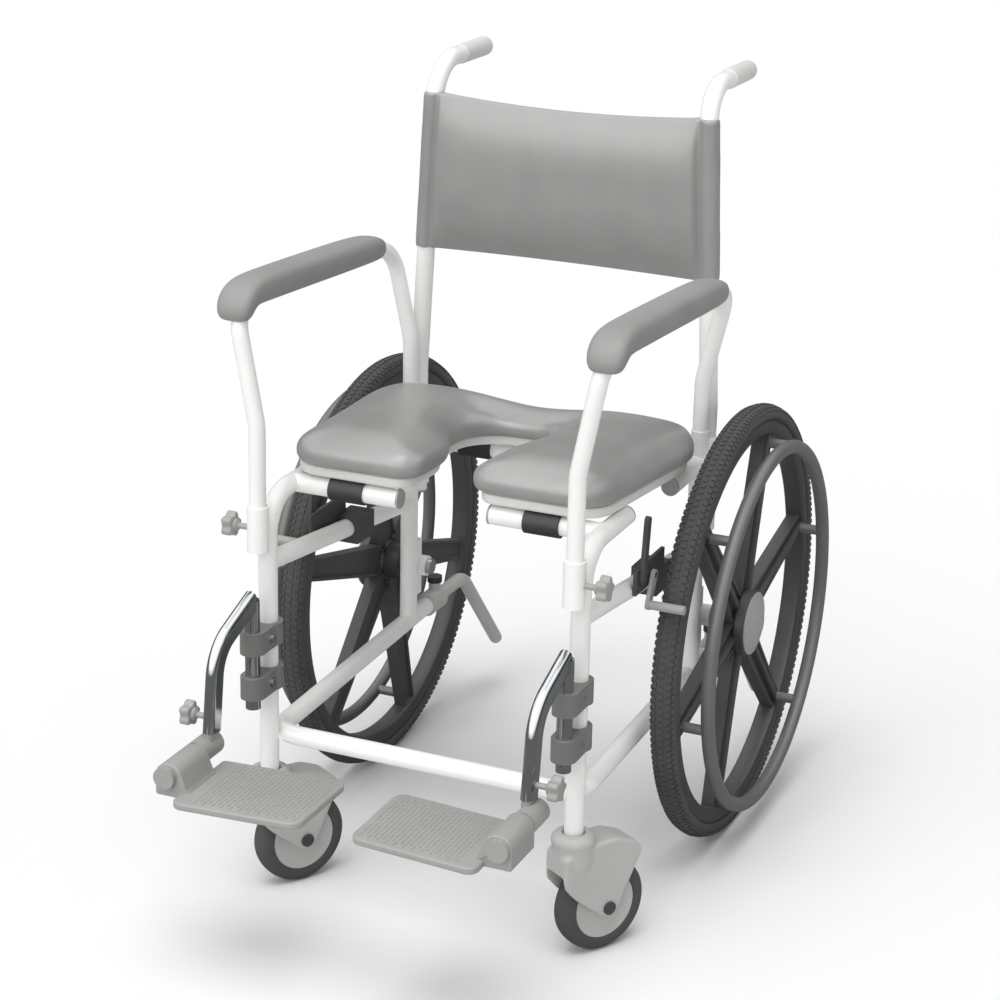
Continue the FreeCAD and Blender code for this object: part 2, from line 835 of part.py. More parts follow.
def mag_wheel(name):
    """Moulded wheel about its own Z axis, which points away from the chair."""
    body = new_body(name)
    revolved(body, name + "_hub", [
        ("bearing_r + running_fit", "hub_inner"),
        ("hub_r", "hub_inner"),
        ("hub_r", "hub_outer - flange_t - flange_r + hub_r"),
        ("flange_r", "hub_outer - flange_t"),
        ("flange_r", "hub_outer"),
        ("bearing_r + running_fit", "hub_outer"),
    ])
    spoke = padded(body, name + "_spoke", "XY_Plane", [
        ("hub_r - spoke_bite", "-spoke_root_w / 2"),
        ("rim_inner_r + spoke_bite", "-spoke_tip_w / 2"),
        ("rim_inner_r + spoke_bite", "spoke_tip_w / 2"),
        ("hub_r - spoke_bite", "spoke_root_w / 2"),
    ], "2 * spoke_face", True)
    rib = padded(body, name + "_rib", "XY_Plane", [
        ("hub_r", "-rib_w / 2"),
        ("rim_inner_r + spoke_bite", "-rib_w / 2"),
        ("rim_inner_r + spoke_bite", "rib_w / 2"),
        ("hub_r", "rib_w / 2"),
    ], "spoke_face + rib_h")
    ringed(body, [spoke, rib], "spoke_count")
    revolved(body, name + "_rim", [
        ("rim_inner_r", "-rim_w / 2 + rim_bevel"),
        ("rim_inner_r + rim_bevel", "-rim_w / 2"),
        ("rim_seat_r", "-rim_w / 2"),
        ("rim_seat_r", "rim_w / 2"),
        ("rim_inner_r + rim_bevel", "rim_w / 2"),
        ("rim_inner_r", "rim_w / 2 - rim_bevel"),
    ])
    return body


def tyre(name, seat_r, outer_r, width):
    """Tyre with a flat tread and rounded shoulders, on the rim's seat."""
    return turned_piece(name, [
        (seat_r, f"-{width} / 2 + tyre_bead"),
        (f"{seat_r} + tyre_bead", f"-{width} / 2"),
        (f"{outer_r} - 3 * tyre_bead", f"-{width} / 2"),
        (f"{outer_r} - tyre_bead", f"-{width} / 2 + tyre_bead"),
        (outer_r, f"-{width} / 2 + 3 * tyre_bead"),
        (outer_r, f"{width} / 2 - 3 * tyre_bead"),
        (f"{outer_r} - tyre_bead", f"{width} / 2 - tyre_bead"),
        (f"{outer_r} - 3 * tyre_bead", f"{width} / 2"),
        (f"{seat_r} + tyre_bead", f"{width} / 2"),
        (seat_r, f"{width} / 2 - tyre_bead"),
    ])


def push_rim(name):
    """Hand rim on pegs that stand on the spoke ends."""
    ring = doc.addObject("Part::Torus", name + "_ring")
    ring.setExpression("Radius1", formula("push_rim_r"))
    ring.setExpression("Radius2", formula("push_rim_tube_r"))
    ring.Placement.Base = V(0, 0, s.push_rim_offset)
    pegs = []
    for i in range(int(s.spoke_count)):
        turn = 2 * math.pi * i / s.spoke_count
        foot = (s.push_rim_r * math.cos(turn), s.push_rim_r * math.sin(turn), s.spoke_face + s.rib_h)
        pegs.append(cylinder(
            f"{name}_peg_{i}", "peg_r", "push_rim_offset - spoke_face - rib_h", foot))
    return fuse(name, [ring] + pegs)


def hub_cap(name):
    return turned_piece(name, [
        ("0", "hub_outer"),
        ("hub_cap_r", "hub_outer"),
        ("hub_cap_r", "hub_outer + hub_cap_rim"),
        ("hub_cap_face_r", "hub_outer + hub_cap_t"),
        ("0", "hub_outer + hub_cap_t"),
    ])


for word, side, phase in (("left", 1, s.left_phase), ("right", -1, s.right_phase)):
    wheel_turn = turned((side, 0, 0)).multiply(FreeCAD.Rotation(V(0, 0, 1), phase))
    wheel_place = FreeCAD.Placement(V(side * s.wheel_x, s.wheel_y, s.wheel_r), wheel_turn)
    for label, piece in (
            ("mag_wheel", mag_wheel(word + "_mag_piece")),
            ("tyre", tyre(word + "_tyre_piece", "rim_seat_r", "wheel_r", "tyre_w")),
            ("push_rim", push_rim(word + "_push_rim_piece")),
            ("hub_cap", hub_cap(word + "_hub_cap_piece"))):
        piece.Placement = wheel_place
        node(f"{word}_{label}", piece)


# Axles, bearings and the brackets that carry them

hub_inner_x = s.wheel_x + s.hub_inner
hub_outer_x = s.wheel_x + s.hub_outer
axle_head_x = s.axle_boss_inner - s.axle_head_t
axle_bar = cylinder(
    "axle_bar", "axle_r", "wheel_x + hub_outer - rest_gap - axle_boss_inner",
    (s.axle_boss_inner, s.wheel_y, s.wheel_r), (1, 0, 0))
axle_head = cylinder(
    "axle_head", "axle_head_r", "axle_head_t", (axle_head_x, s.wheel_y, s.wheel_r), (1, 0, 0))
axle = fuse("axle", [axle_bar, axle_head])
node("wheel_axles", group("axle_group", [axle, mirrored("axle_twin", axle)]))


def bearing(name, x):
    start = (x, s.wheel_y, s.wheel_r)
    outside = cylinder(name + "_outside", "bearing_r", "bearing_w", start, (1, 0, 0))
    inside = cylinder(name + "_inside", "axle_r", "bearing_w", start, (1, 0, 0))
    return cut(name, outside, [inside])


bearings = [
    bearing("inner_bearing", hub_inner_x),
    bearing("outer_bearing", hub_outer_x - s.bearing_w - s.rest_gap),
]
node("wheel_bearings", group(
    "bearing_group", bearings + [mirrored(piece.Name + "_twin", piece) for piece in bearings]))

axle_boss = cylinder(
    "axle_boss", "axle_boss_r", "axle_boss_outer - axle_boss_inner",
    (s.axle_boss_inner, s.wheel_y, s.wheel_r), (1, 0, 0))
axle_plate = box(
    "axle_plate", "axle_plate_t", "wheel_y - upright_y", "axle_plate_h",
    (s.leg_x - s.axle_plate_t / 2, s.upright_y, s.wheel_r - s.axle_plate_h / 2))
axle_bore = cylinder(
    "axle_bore", "axle_r", "axle_boss_outer - axle_boss_inner",
    (s.axle_boss_inner, s.wheel_y, s.wheel_r), (1, 0, 0))
axle_bracket = cut(
    "axle_bracket", fuse("axle_bracket_block", [axle_boss, axle_plate]),
    [axle_bore, member_outsides["upright"]])
node("axle_brackets", group(
    "axle_bracket_group", [axle_bracket, mirrored("axle_bracket_twin", axle_bracket)]))


# Casters: both are swung the same way, as they came to rest

def caster_housing(name):
    """Hooded fork about the swivel axis at its origin; the wheel trails along +Y."""
    body = new_body(name + "_fork")
    padded(body, name + "_hood", "YZ_Plane", [
        ("hood_front", "hood_brow"),
        ("hood_front", "hood_chin"),
        ("hood_front + hood_taper", "hood_chin - 2 * hood_taper"),
        ("caster_trail - fork_toe", "caster_r - fork_toe / 2"),
        ("caster_trail", "caster_r - fork_toe"),
        ("caster_trail + fork_toe", "caster_r - fork_toe / 2"),
        ("hood_rear", "hood_eave"),
        ("hood_rear - hood_taper / 2", "hood_eave + hood_taper"),
        ("hood_rear - 3 * hood_taper", "hood_top"),
        ("collar_r", "hood_top"),
    ], "fork_gap + 2 * fork_t", True)
    fork = slotted(body, name + "_slot", "YZ_Plane", [
        ("hood_front - hood_taper", "0"),
        ("hood_front - hood_taper", "hood_chin + hood_roof_t / 2"),
        ("hood_front + 2 * hood_taper", "collar_bottom"),
        ("collar_r", "hood_top - 2 * hood_roof_t"),
        ("hood_rear - 3 * hood_taper", "hood_top - hood_roof_t"),
        ("hood_rear - hood_taper", "hood_eave + hood_taper / 2"),
        ("hood_rear", "hood_eave - hood_taper"),
        ("hood_rear", "0"),
    ], "fork_gap")
    collar = cylinder(
        name + "_collar", "collar_r", "collar_top - collar_bottom", (0, 0, s.collar_bottom))
    leg_well = cylinder(
        name + "_well", "tube_d / 2 + collar_gap", "collar_top - collar_floor", (0, 0, s.collar_floor))
    stem_bore = cylinder(name + "_bore", "stem_r + running_fit", "collar_top", (0, 0, s.caster_r * 2))
    half_w = s.fork_gap / 2 + s.fork_t
    axle_hole = cylinder(
        name + "_axle_hole", "caster_axle_r", "fork_gap + 2 * fork_t",
        (-half_w, s.caster_trail, s.caster_r), (1, 0, 0))
    return cut(name, fuse(name + "_block", [fork, collar]), [leg_well, stem_bore, axle_hole])


def caster_axle(name):
    """Bolt through the fork with a broad head on each side."""
    half_w = s.fork_gap / 2 + s.fork_t
    length = "fork_gap + 2 * fork_t"
    bar = cylinder(
        name + "_bar", "caster_axle_r", length, (-half_w, s.caster_trail, s.caster_r), (1, 0, 0))
    heads = [
        cylinder(f"{name}_head_{word}", "caster_head_r", "caster_head_t",
                 (x, s.caster_trail, s.caster_r), (1, 0, 0))
        for word, x in (("a", -half_w - s.caster_head_t), ("b", half_w))
    ]
    return fuse(name, [bar] + heads)


swivel_turn = FreeCAD.Rotation(V(0, 0, 1), -s.caster_swivel)
for word, side in (("left", 1), ("right", -1)):
    caster_place = FreeCAD.Placement(V(side * s.leg_x, s.leg_y, 0), swivel_turn)
    roll_place = caster_place.multiply(
        FreeCAD.Placement(V(0, s.caster_trail, s.caster_r), turned((1, 0, 0))))
    housing = caster_housing(word + "_caster_housing_piece")
    housing.Placement = caster_place
    node(word + "_caster_housing", housing)
    bolt = caster_axle(word + "_caster_axle_piece")
    bolt.Placement = caster_place
    node(word + "_caster_axle", bolt)
    wheel = turned_piece(word + "_caster_wheel_piece", [
        ("caster_axle_r + running_fit", "-fork_gap / 2 + caster_play"),
        ("caster_boss_r", "-fork_gap / 2 + caster_play"),
        ("caster_boss_r", "-caster_hub_w / 2"),
        ("caster_hub_r", "-caster_hub_w / 2"),
        ("caster_hub_r", "caster_hub_w / 2"),
        ("caster_boss_r", "caster_hub_w / 2"),
        ("caster_boss_r", "fork_gap / 2 - caster_play"),
        ("caster_axle_r + running_fit", "fork_gap / 2 - caster_play"),
    ])
    wheel.Placement = roll_place
    node(word + "_caster_wheel", wheel)
    rubber = tyre(word + "_caster_tyre_piece", "caster_hub_r", "caster_r", "caster_w")
    rubber.Placement = roll_place
    node(word + "_caster_tyre", rubber)

stem_bar = cylinder(
    "stem_bar", "stem_r", "leg_bottom + stem_plug_len - collar_bottom - stem_recess",
    (s.leg_x, s.leg_y, s.collar_bottom + s.stem_recess))
stem_plug = cylinder(
    "stem_plug", "tube_d / 2 - tube_wall - slide_fit", "stem_plug_len", (s.leg_x, s.leg_y, s.leg_bottom))
stem_flange = cylinder(
    "stem_flange", "tube_d / 2", "leg_bottom - collar_floor - rest_gap",
    (s.leg_x, s.leg_y, s.collar_floor + s.rest_gap))
stem = fuse("stem", [stem_bar, stem_plug, stem_flange])
node("caster_stems", group("stem_group", [stem, mirrored("stem_twin", stem)]))


# Brakes

plate_x = s.leg_x + s.brake_clamp_w / 2 - s.brake_plate_t
plate_face = plate_x + s.brake_plate_t
lever_x = plate_face + s.rest_gap
shoe_x = lever_x + s.lever_t + s.rest_gap


brake_block = box(
    "brake_block", "brake_clamp_w", "brake_clamp_len", "brake_clamp_w",
    (s.leg_x - s.brake_clamp_w / 2, s.brake_clamp_y - s.brake_clamp_len / 2,
     rail_height(s.brake_clamp_y) - s.brake_clamp_w / 2))
brake_plate = box(
    "brake_plate", "brake_plate_t", "brake_clamp_y - brake_plate_front",
    "brake_plate_top - brake_plate_bottom", (plate_x, s.brake_plate_front, s.brake_plate_bottom))
lever_pin = cylinder(
    "lever_pin", "brake_pin_r", "brake_plate_t + lever_t + rest_gap",
    (plate_x, s.lever_pivot_y, s.lever_pivot_z), (1, 0, 0))
shoe_pin = cylinder(
    "shoe_pin", "brake_pin_r", "brake_plate_t + lever_t + shoe_arm_t + 2 * rest_gap",
    (plate_x, s.shoe_pivot_y, s.lever_pivot_z), (1, 0, 0))
brake_bracket = cut(
    "brake_bracket", fuse("brake_bracket_block", [brake_block, brake_plate, lever_pin, shoe_pin]),
    [member_outsides["upper_rail"]])
node("brake_brackets", group(
    "brake_bracket_group", [brake_bracket, mirrored("brake_bracket_twin", brake_bracket)]))


def pivoted_arm(name, length, width, thickness, pivot, angle):
    """Flat arm with round ends; it stands up from its pivot and is swung by an angle about X."""
    half_w = getattr(s, width) / 2
    strip = box(name + "_strip", thickness, width, str(length), (0, -half_w, 0))
    root = cylinder(name + "_root", width + " / 2", thickness, (0, 0, 0), (1, 0, 0))
    tip = cylinder(name + "_tip", width + " / 2", thickness, (0, 0, length), (1, 0, 0))
    hole = cylinder(name + "_hole", "brake_pin_r + running_fit", thickness, (0, 0, 0), (1, 0, 0))
    arm = cut(name, fuse(name + "_bar", [strip, root, tip]), [hole])
    arm.Placement = FreeCAD.Placement(V(*pivot), FreeCAD.Rotation(V(1, 0, 0), angle))
    return arm


both_sides("brake_lever", pivoted_arm(
    "brake_lever_piece", s.lever_len, "lever_w", "lever_t",
    (lever_x, s.lever_pivot_y, s.lever_pivot_z), -s.lever_tilt))

shoe_dy = s.shoe_y - s.shoe_pivot_y
shoe_dz = s.shoe_z - s.lever_pivot_z
shoe_arm = pivoted_arm(
    "shoe_arm", math.hypot(shoe_dy, shoe_dz), "shoe_arm_w", "shoe_arm_t",
    (shoe_x, s.shoe_pivot_y, s.lever_pivot_z), math.degrees(math.atan2(-shoe_dy, shoe_dz)))
shoe_bar = cylinder("shoe_bar", "shoe_r", "shoe_len", (shoe_x, s.shoe_y, s.shoe_z), (1, 0, 0))
both_sides("brake_shoe", fuse("brake_shoe_piece", [shoe_arm, shoe_bar]))


# Footrests: the hanger turns in two clamps on the leg

pivot_r = s.pivot_d / 2
clamp_screw_y = (s.leg_y + s.pivot_y) / 2
clamp_half_w = pivot_r + s.clamp_wall
pivot_bar = cylinder(
    "hanger_pivot", "pivot_d / 2", "hanger_top_z - pivot_bottom", (s.leg_x, s.pivot_y, s.pivot_bottom))
clamps = []
screws = []
for level, height in (("low", s.clamp_low_z), ("high", s.clamp_high_z)):
    bottom = height - s.clamp_h / 2
    leg_ring = cylinder(
        f"clamp_leg_ring_{level}", "tube_d / 2 + clamp_wall", "clamp_h", (s.leg_x, s.leg_y, bottom))
    pivot_ring = cylinder(
        f"clamp_pivot_ring_{level}", "pivot_d / 2 + clamp_wall", "clamp_h", (s.leg_x, s.pivot_y, bottom))
    bridge = box(
        f"clamp_bridge_{level}", "pivot_d + 2 * clamp_wall", "leg_y - pivot_y", "clamp_h",
        (s.leg_x - clamp_half_w, s.pivot_y, bottom))
    leg_bore = cylinder(f"clamp_leg_bore_{level}", "tube_d / 2", "clamp_h", (s.leg_x, s.leg_y, bottom))
    pivot_bore = cylinder(
        f"clamp_pivot_bore_{level}", "pivot_d / 2 + running_fit", "clamp_h", (s.leg_x, s.pivot_y, bottom))
    screw_start = (s.leg_x - clamp_half_w, clamp_screw_y, height)
    screw_hole = cylinder(
        f"clamp_screw_hole_{level}", "clamp_screw_r", "pivot_d + 2 * clamp_wall", screw_start, (1, 0, 0))
    clamps.append(cut(
        f"clamp_{level}", fuse(f"clamp_block_{level}", [leg_ring, pivot_ring, bridge]),
        [leg_bore, pivot_bore, screw_hole]))
    shank = cylinder(
        f"clamp_shank_{level}", "clamp_screw_r", "pivot_d + 2 * clamp_wall", screw_start, (1, 0, 0))
    head = cylinder(f"clamp_head_{level}", "clamp_head_r", "clamp_head_t", screw_start, (-1, 0, 0))
    screws.append(fuse(f"clamp_screw_{level}", [shank, head]))
node("hanger_clamps", group(
    "clamp_group", clamps + [mirrored(clamp.Name + "_twin", clamp) for clamp in clamps]))
node("clamp_screws", group(
    "screw_group", screws + [mirrored(screw.Name + "_twin", screw) for screw in screws]))


def oval_section(name, width, depth, corner, ahead):
    """Flat-sided oval across a path in the YZ plane; width lies along X."""
    radius = width / 2
    flat = depth / 2 - radius
    outline_edges = [
        Part.makeLine(V(radius, -flat, 0), V(radius, flat, 0)),
        Part.Arc(V(radius, flat, 0), V(0, flat + radius, 0), V(-radius, flat, 0)).toShape(),
        Part.makeLine(V(-radius, flat, 0), V(-radius, -flat, 0)),
        Part.Arc(V(-radius, -flat, 0), V(0, -flat - radius, 0), V(radius, -flat, 0)).toShape(),
    ]
    section = doc.addObject("Part::Feature", name)
    section.Shape = Part.Wire(outline_edges)
    across = V(1, 0, 0)
    section.Placement = FreeCAD.Placement(
        corner, FreeCAD.Rotation(across, ahead.cross(across), ahead, "ZXY"))
    return section


def oval_bar(name, width, depth, corners, bends=()):
    corners = [V(*corner) for corner in corners]
    ahead = (corners[1] - corners[0]).normalize()
    return swept(name, oval_section(name + "_section", width, depth, corners[0], ahead), corners, bends)


hanger_corners = [
    (s.leg_x, s.pivot_y, s.hanger_top_z),
    (s.leg_x, s.hanger_knee_y, s.hanger_knee_z),
    (s.leg_x, s.hanger_foot_y, s.hanger_foot_z),
]
hanger_inner_w = s.hanger_w - 2 * s.hanger_wall
hanger_inner_deep = s.hanger_deep - 2 * s.hanger_wall
foot = V(*hanger_corners[2])
run = (foot - V(*hanger_corners[1])).normalize()


def on_run(z):
    """Point at a height on the hanger's straight lower run."""
    return foot + run * ((z - foot.z) / run.z)


knob_point = on_run(s.foot_knob_z)
extension_w = hanger_inner_w - 2 * s.slide_fit
hanger_outside = oval_bar("hanger_outside", s.hanger_w, s.hanger_deep, hanger_corners, [s.hanger_bend])
hanger_inside = oval_bar(
    "hanger_inside", hanger_inner_w, hanger_inner_deep, hanger_corners, [s.hanger_bend])
hanger_knob_hole = cylinder(
    "hanger_knob_hole", "knob_shank_r + running_fit", "hanger_w",
    (s.leg_x, knob_point.y, knob_point.z), (1, 0, 0))
hanger_shell = cut("hanger_shell", hanger_outside, [hanger_inside, hanger_knob_hole])
both_sides("footrest_hanger", fuse("footrest_hanger_piece", [hanger_shell, pivot_bar]))
both_sides("footrest_knob", star_knob(
    "foot_knob", s.leg_x + extension_w / 2 + s.rest_gap, knob_point.y, knob_point.z))

extension_bar = oval_bar(
    "extension_bar", extension_w, hanger_inner_deep - 2 * s.slide_fit,
    [foot - run * s.extension_len, on_run(s.hinge_z)])
hinge_block = cylinder(
    "hinge_block", "hinge_r", "hinge_rear - hinge_split", (s.hinge_x, s.hinge_split, s.hinge_z), (0, 1, 0))
hinge_block_bore = cylinder(
    "hinge_block_bore", "hinge_pin_r", "hinge_rear - hinge_split",
    (s.hinge_x, s.hinge_split, s.hinge_z), (0, 1, 0))
both_sides("footrest_extension", cut(
    "footrest_extension_piece", fuse("extension_block", [extension_bar, hinge_block]), [hinge_block_bore]))

hinge_pin_bar = cylinder(
    "hinge_pin_bar", "hinge_pin_r", "hinge_rear - hinge_front + rest_gap",
    (s.hinge_x, s.hinge_front - s.rest_gap, s.hinge_z), (0, 1, 0))
hinge_pin_cap = cylinder(
    "hinge_pin_cap", "hinge_cap_r", "hinge_cap_t",
    (s.hinge_x, s.hinge_front - s.rest_gap, s.hinge_z), (0, -1, 0))
both_sides("footplate_pin", fuse("footplate_pin_piece", [hinge_pin_bar, hinge_pin_cap]))

plate_body = new_body("plate_body")
plate_pad = padded(plate_body, "plate_pad", "XY_Plane", [
    ("plate_inner", "plate_front"),
    ("plate_outer", "plate_front - plate_skew"),
    ("plate_outer", "plate_rear - plate_skew"),
    ("plate_inner", "plate_rear"),
], "plate_t")
corner_edges = [
    f"Edge{i}" for i, edge in enumerate(plate_pad.Shape.Edges, start=1)
    if abs(edge.tangentAt(edge.FirstParameter).z) > 0.9
]
plate_round = plate_body.newObject("PartDesign::Fillet", "plate_round")
plate_round.Base = (plate_pad, corner_edges)
plate_round.setExpression("Radius", formula("plate_corner"))
plate_body.Tip = plate_round
plate_body.Placement.Base = V(0, 0, s.plate_z)
knuckle = cylinder(
    "knuckle", "hinge_r", "hinge_split - rest_gap - hinge_front",
    (s.hinge_x, s.hinge_front, s.hinge_z), (0, 1, 0))
knuckle_web = box(
    "knuckle_web", "hinge_x + hinge_r - plate_outer + plate_corner", "hinge_split - rest_gap - hinge_front",
    "hinge_z - plate_z", (s.plate_outer - s.plate_corner, s.hinge_front, s.plate_z))
knuckle_bore = cylinder(
    "knuckle_bore", "hinge_pin_r + running_fit", "hinge_split - rest_gap - hinge_front",
    (s.hinge_x, s.hinge_front, s.hinge_z), (0, 1, 0))
both_sides("footplate", cut(
    "footplate_piece", fuse("footplate_block", [plate_body, knuckle, knuckle_web]), [knuckle_bore]))


# Anti-tip tubes at the rear of the lower rails

tip_start = s.base_rear + 2 * s.rest_gap
tip_boss_y = s.base_rear + s.tip_bracket_len / 4
bracket_start = (s.leg_x, s.base_rear - s.tip_bracket_len / 2, s.base_z)
tip_block = cylinder("tip_block", "tip_bracket_r", "tip_bracket_len", bracket_start, (0, 1, 0))
tip_boss = cylinder(
    "tip_boss", "tip_boss_r", "tip_bracket_r + tip_boss_h", (s.leg_x, tip_boss_y, s.base_z))
tip_bore = cylinder(
    "tip_bore", "tip_d / 2 + running_fit", "tip_bracket_len",
    (s.leg_x, s.base_rear, s.base_z), (0, 1, 0))
tip_pin_bore = cylinder(
    "tip_pin_bore", "tip_pin_r + running_fit", "tip_bracket_r + tip_boss_h",
    (s.leg_x, tip_boss_y, s.base_z))
tip_bracket = cut(
    "tip_bracket", fuse("tip_bracket_block", [tip_block, tip_boss]), [base_outside, tip_bore, tip_pin_bore])
node("anti_tip_brackets", group(
    "tip_bracket_group", [tip_bracket, mirrored("tip_bracket_twin", tip_bracket)]))

tip_corners = [
    (s.leg_x, tip_start, s.base_z),
    (s.leg_x, s.tip_bend_y, s.base_z),
    (s.leg_x, s.tip_end_y, s.tip_end_z),
]
tip_outside = round_bar("tip_outside", "tip_d / 2", tip_corners, [s.tip_bend])
tip_inside = round_bar("tip_inside", "tip_d / 2 - tip_wall", tip_corners, [s.tip_bend])
tip_dome = doc.addObject("Part::Sphere", "tip_dome")
tip_dome.setExpression("Radius", formula("tip_d / 2"))
tip_dome.Placement.Base = V(*tip_corners[2])
both_sides("anti_tip_tube", fuse(
    "anti_tip_piece", [cut("tip_tube", tip_outside, [tip_inside]), tip_dome]))

tip_pin_z = s.base_z + s.tip_d / 2 + s.rest_gap
tip_boss_top = s.base_z + s.tip_bracket_r + s.tip_boss_h
tip_pin = cylinder(
    "tip_pin", "tip_pin_r", "tip_bracket_r + tip_boss_h - tip_d / 2",
    (s.leg_x, tip_boss_y, tip_pin_z))
tip_knob_head = cylinder(
    "tip_knob_head", "tip_knob_r", "tip_knob_t", (s.leg_x, tip_boss_y, tip_boss_top + s.rest_gap))
both_sides("anti_tip_knob", fuse("anti_tip_knob_piece", [tip_pin, tip_knob_head]))


# Check every object, then write one file for each node

doc.recompute()
for item in doc.Objects:
    if "Invalid" in item.State or "Error" in item.State:
        raise RuntimeError(f"{item.Label} failed: {item.State}")
os.makedirs("parts", exist_ok=True)
for label, piece in nodes.items():
    if piece.Shape.isNull() or not piece.Shape.isValid() or not piece.Shape.Solids:
        raise RuntimeError(f"{label} has no valid solid")
    piece.Shape.exportStep(f"parts/{label}.step")
print(len(nodes), "nodes")
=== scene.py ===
import json
import math

import bmesh
import bpy
from bpy.props import FloatProperty, FloatVectorProperty, IntProperty, PointerProperty
from bpy.types import Operator, Panel, PropertyGroup
from mathutils import Matrix, Vector
from mathutils.geometry import intersect_point_line


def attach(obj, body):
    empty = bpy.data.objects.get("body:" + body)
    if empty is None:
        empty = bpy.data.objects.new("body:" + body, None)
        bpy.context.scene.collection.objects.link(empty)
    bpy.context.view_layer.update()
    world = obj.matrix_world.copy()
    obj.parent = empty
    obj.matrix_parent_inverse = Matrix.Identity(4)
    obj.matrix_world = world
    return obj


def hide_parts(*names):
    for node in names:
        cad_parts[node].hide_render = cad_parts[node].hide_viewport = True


bl_info = {
    "name": "Shower Commode Chair",
    "version": (1, 0, 0),
    "blender": (4, 5, 0),
    "location": "View3D > Sidebar > Commode",
    "description": "Dresses the packed frame of a self-propelled shower commode chair",
    "category": "Object",
}

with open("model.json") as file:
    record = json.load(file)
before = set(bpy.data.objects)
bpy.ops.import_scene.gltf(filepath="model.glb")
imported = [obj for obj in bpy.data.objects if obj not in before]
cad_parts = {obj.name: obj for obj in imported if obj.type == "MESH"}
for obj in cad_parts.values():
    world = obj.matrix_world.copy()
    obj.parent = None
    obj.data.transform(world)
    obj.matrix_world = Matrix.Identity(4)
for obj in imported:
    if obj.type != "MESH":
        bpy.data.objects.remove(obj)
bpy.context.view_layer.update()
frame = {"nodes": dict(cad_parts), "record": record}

MM = 0.001
SIDES = (("left", 1), ("right", -1))


def linear(code):
    """Linear colour of an sRGB hex value."""
    parts = [int(code[i:i + 2], 16) / 255 for i in (0, 2, 4)]
    return tuple(c / 12.92 if c <= 0.04045 else ((c + 0.055) / 1.055) ** 2.4 for c in parts)


def colour(label, words, code):
    """A colour that a user may change."""
    return FloatVectorProperty(
        name=label, description=words, subtype="COLOR", size=3, min=0, max=1, default=linear(code))


def length(label, words, millimetres):
    """A size that a user may change."""
    return FloatProperty(
        name=label, description=words, subtype="DISTANCE", unit="LENGTH", default=millimetres * MM)


class ChairColours(PropertyGroup):
    """Colours of the chair's finishes"""
    coat: colour("Powder coat", "White coat of the steel tubes", "f3f3f1")
    vinyl: colour("Vinyl", "Upholstery of seat and backrest", "919290")
    foam: colour("Armrest foam", "Moulded skin of the armrest pads", "8b8c8a")
    grey_plastic: colour("Grey plastic", "Knobs, footplates and hub caps", "9b9c99")
    pale_plastic: colour("Pale plastic", "Casters", "b7b8b5")
    light_plastic: colour("Light plastic", "Seat board and push grips", "d9dad7")
    slate_plastic: colour("Slate plastic", "Hanger clamps", "727471")
    charcoal: colour("Charcoal nylon", "Spoked wheels and brake levers", "434342")
    rim: colour("Push rim", "Coated hand rims", "636562")
    tread: colour("Tyre", "Rubber of the tyres", "4b4b4a")
    rubber: colour("Black rubber", "Seat sleeves and pull knobs", "2b2b2a")


class ChairSizes(PropertyGroup):
    """Sizes of the dressing on the frame"""
    cushion_swell: length("Cushion swell", "Furthest that the seat's skin may bulge", 9)
    back_swell: length("Back swell", "Furthest that the backrest's skin may bulge", 8)
    back_sag: length("Back sag", "Dip of the backrest's top edge between the posts", 9)
    tread_pitch: length("Tread pitch", "Distance between tread blocks", 10)
    rib_pitch: length("Footplate rib pitch", "Distance between the anti-slip rows", 6)
    voxel: length("Cushion grid", "Grid of the padded pieces", 5)
    cloth_frames: IntProperty(
        name="Filling steps", description="Steps for which the padded pieces are filled", default=12)


# Materials

def add(tree, kind, settings=None, sockets=None, links=None):
    """Adds one shader node, with its settings, its socket values and its incoming links."""
    made = tree.nodes.new(kind)
    for name, value in (settings or {}).items():
        setattr(made, name, value)
    for name, value in (sockets or {}).items():
        made.inputs[name].default_value = value
    for name, source in (links or {}).items():
        tree.links.new(source, made.inputs[name])
    return made


def finish_of(name, base, shader, grain_mm, bump_mm, shade, rough, kind="ShaderNodeTexNoise"):
    """A finish: base colour with slight shade changes, roughness that varies, and a fine grain."""
    found = bpy.data.materials.get(name)
    if found:
        return found
    made = bpy.data.materials.new(name)
    made.use_nodes = True
    tree = made.node_tree
    tree.nodes.clear()
    place = add(tree, "ShaderNodeTexCoord").outputs["Object"]
    # Cloudy tone over about 60 mm, as handling and cleaning leave it
    cloud = add(tree, "ShaderNodeTexNoise", sockets={"Scale": 1 / 0.06, "Detail": 4.0},
                links={"Vector": place}).outputs["Fac"]
    dark = tuple(c * (1 - shade) for c in base) + (1,)
    light = tuple(min(1, c * (1 + shade)) for c in base) + (1,)
    tone = add(tree, "ShaderNodeValToRGB", links={"Fac": cloud})
    tone.color_ramp.elements[0].position = 0.3
    tone.color_ramp.elements[0].color = dark
    tone.color_ramp.elements[1].position = 0.7
    tone.color_ramp.elements[1].color = light
    grain = add(tree, kind, sockets={"Scale": 1 / (grain_mm * MM)}, links={"Vector": place})
    height = grain.outputs["Distance" if kind == "ShaderNodeTexVoronoi" else "Fac"]
    gloss = add(tree, "ShaderNodeMapRange", sockets={"To Min": rough[0], "To Max": rough[1]},
                links={"Value": cloud}).outputs["Result"]
    relief = add(tree, "ShaderNodeBump", sockets={"Strength": 0.35, "Distance": bump_mm * MM},
                 links={"Height": height}).outputs["Normal"]
    skin = add(tree, "ShaderNodeBsdfPrincipled", sockets=shader,
               links={"Base Color": tone.outputs["Color"], "Roughness": gloss, "Normal": relief})
    add(tree, "ShaderNodeOutputMaterial", links={"Surface": skin.outputs["BSDF"]})
    return made


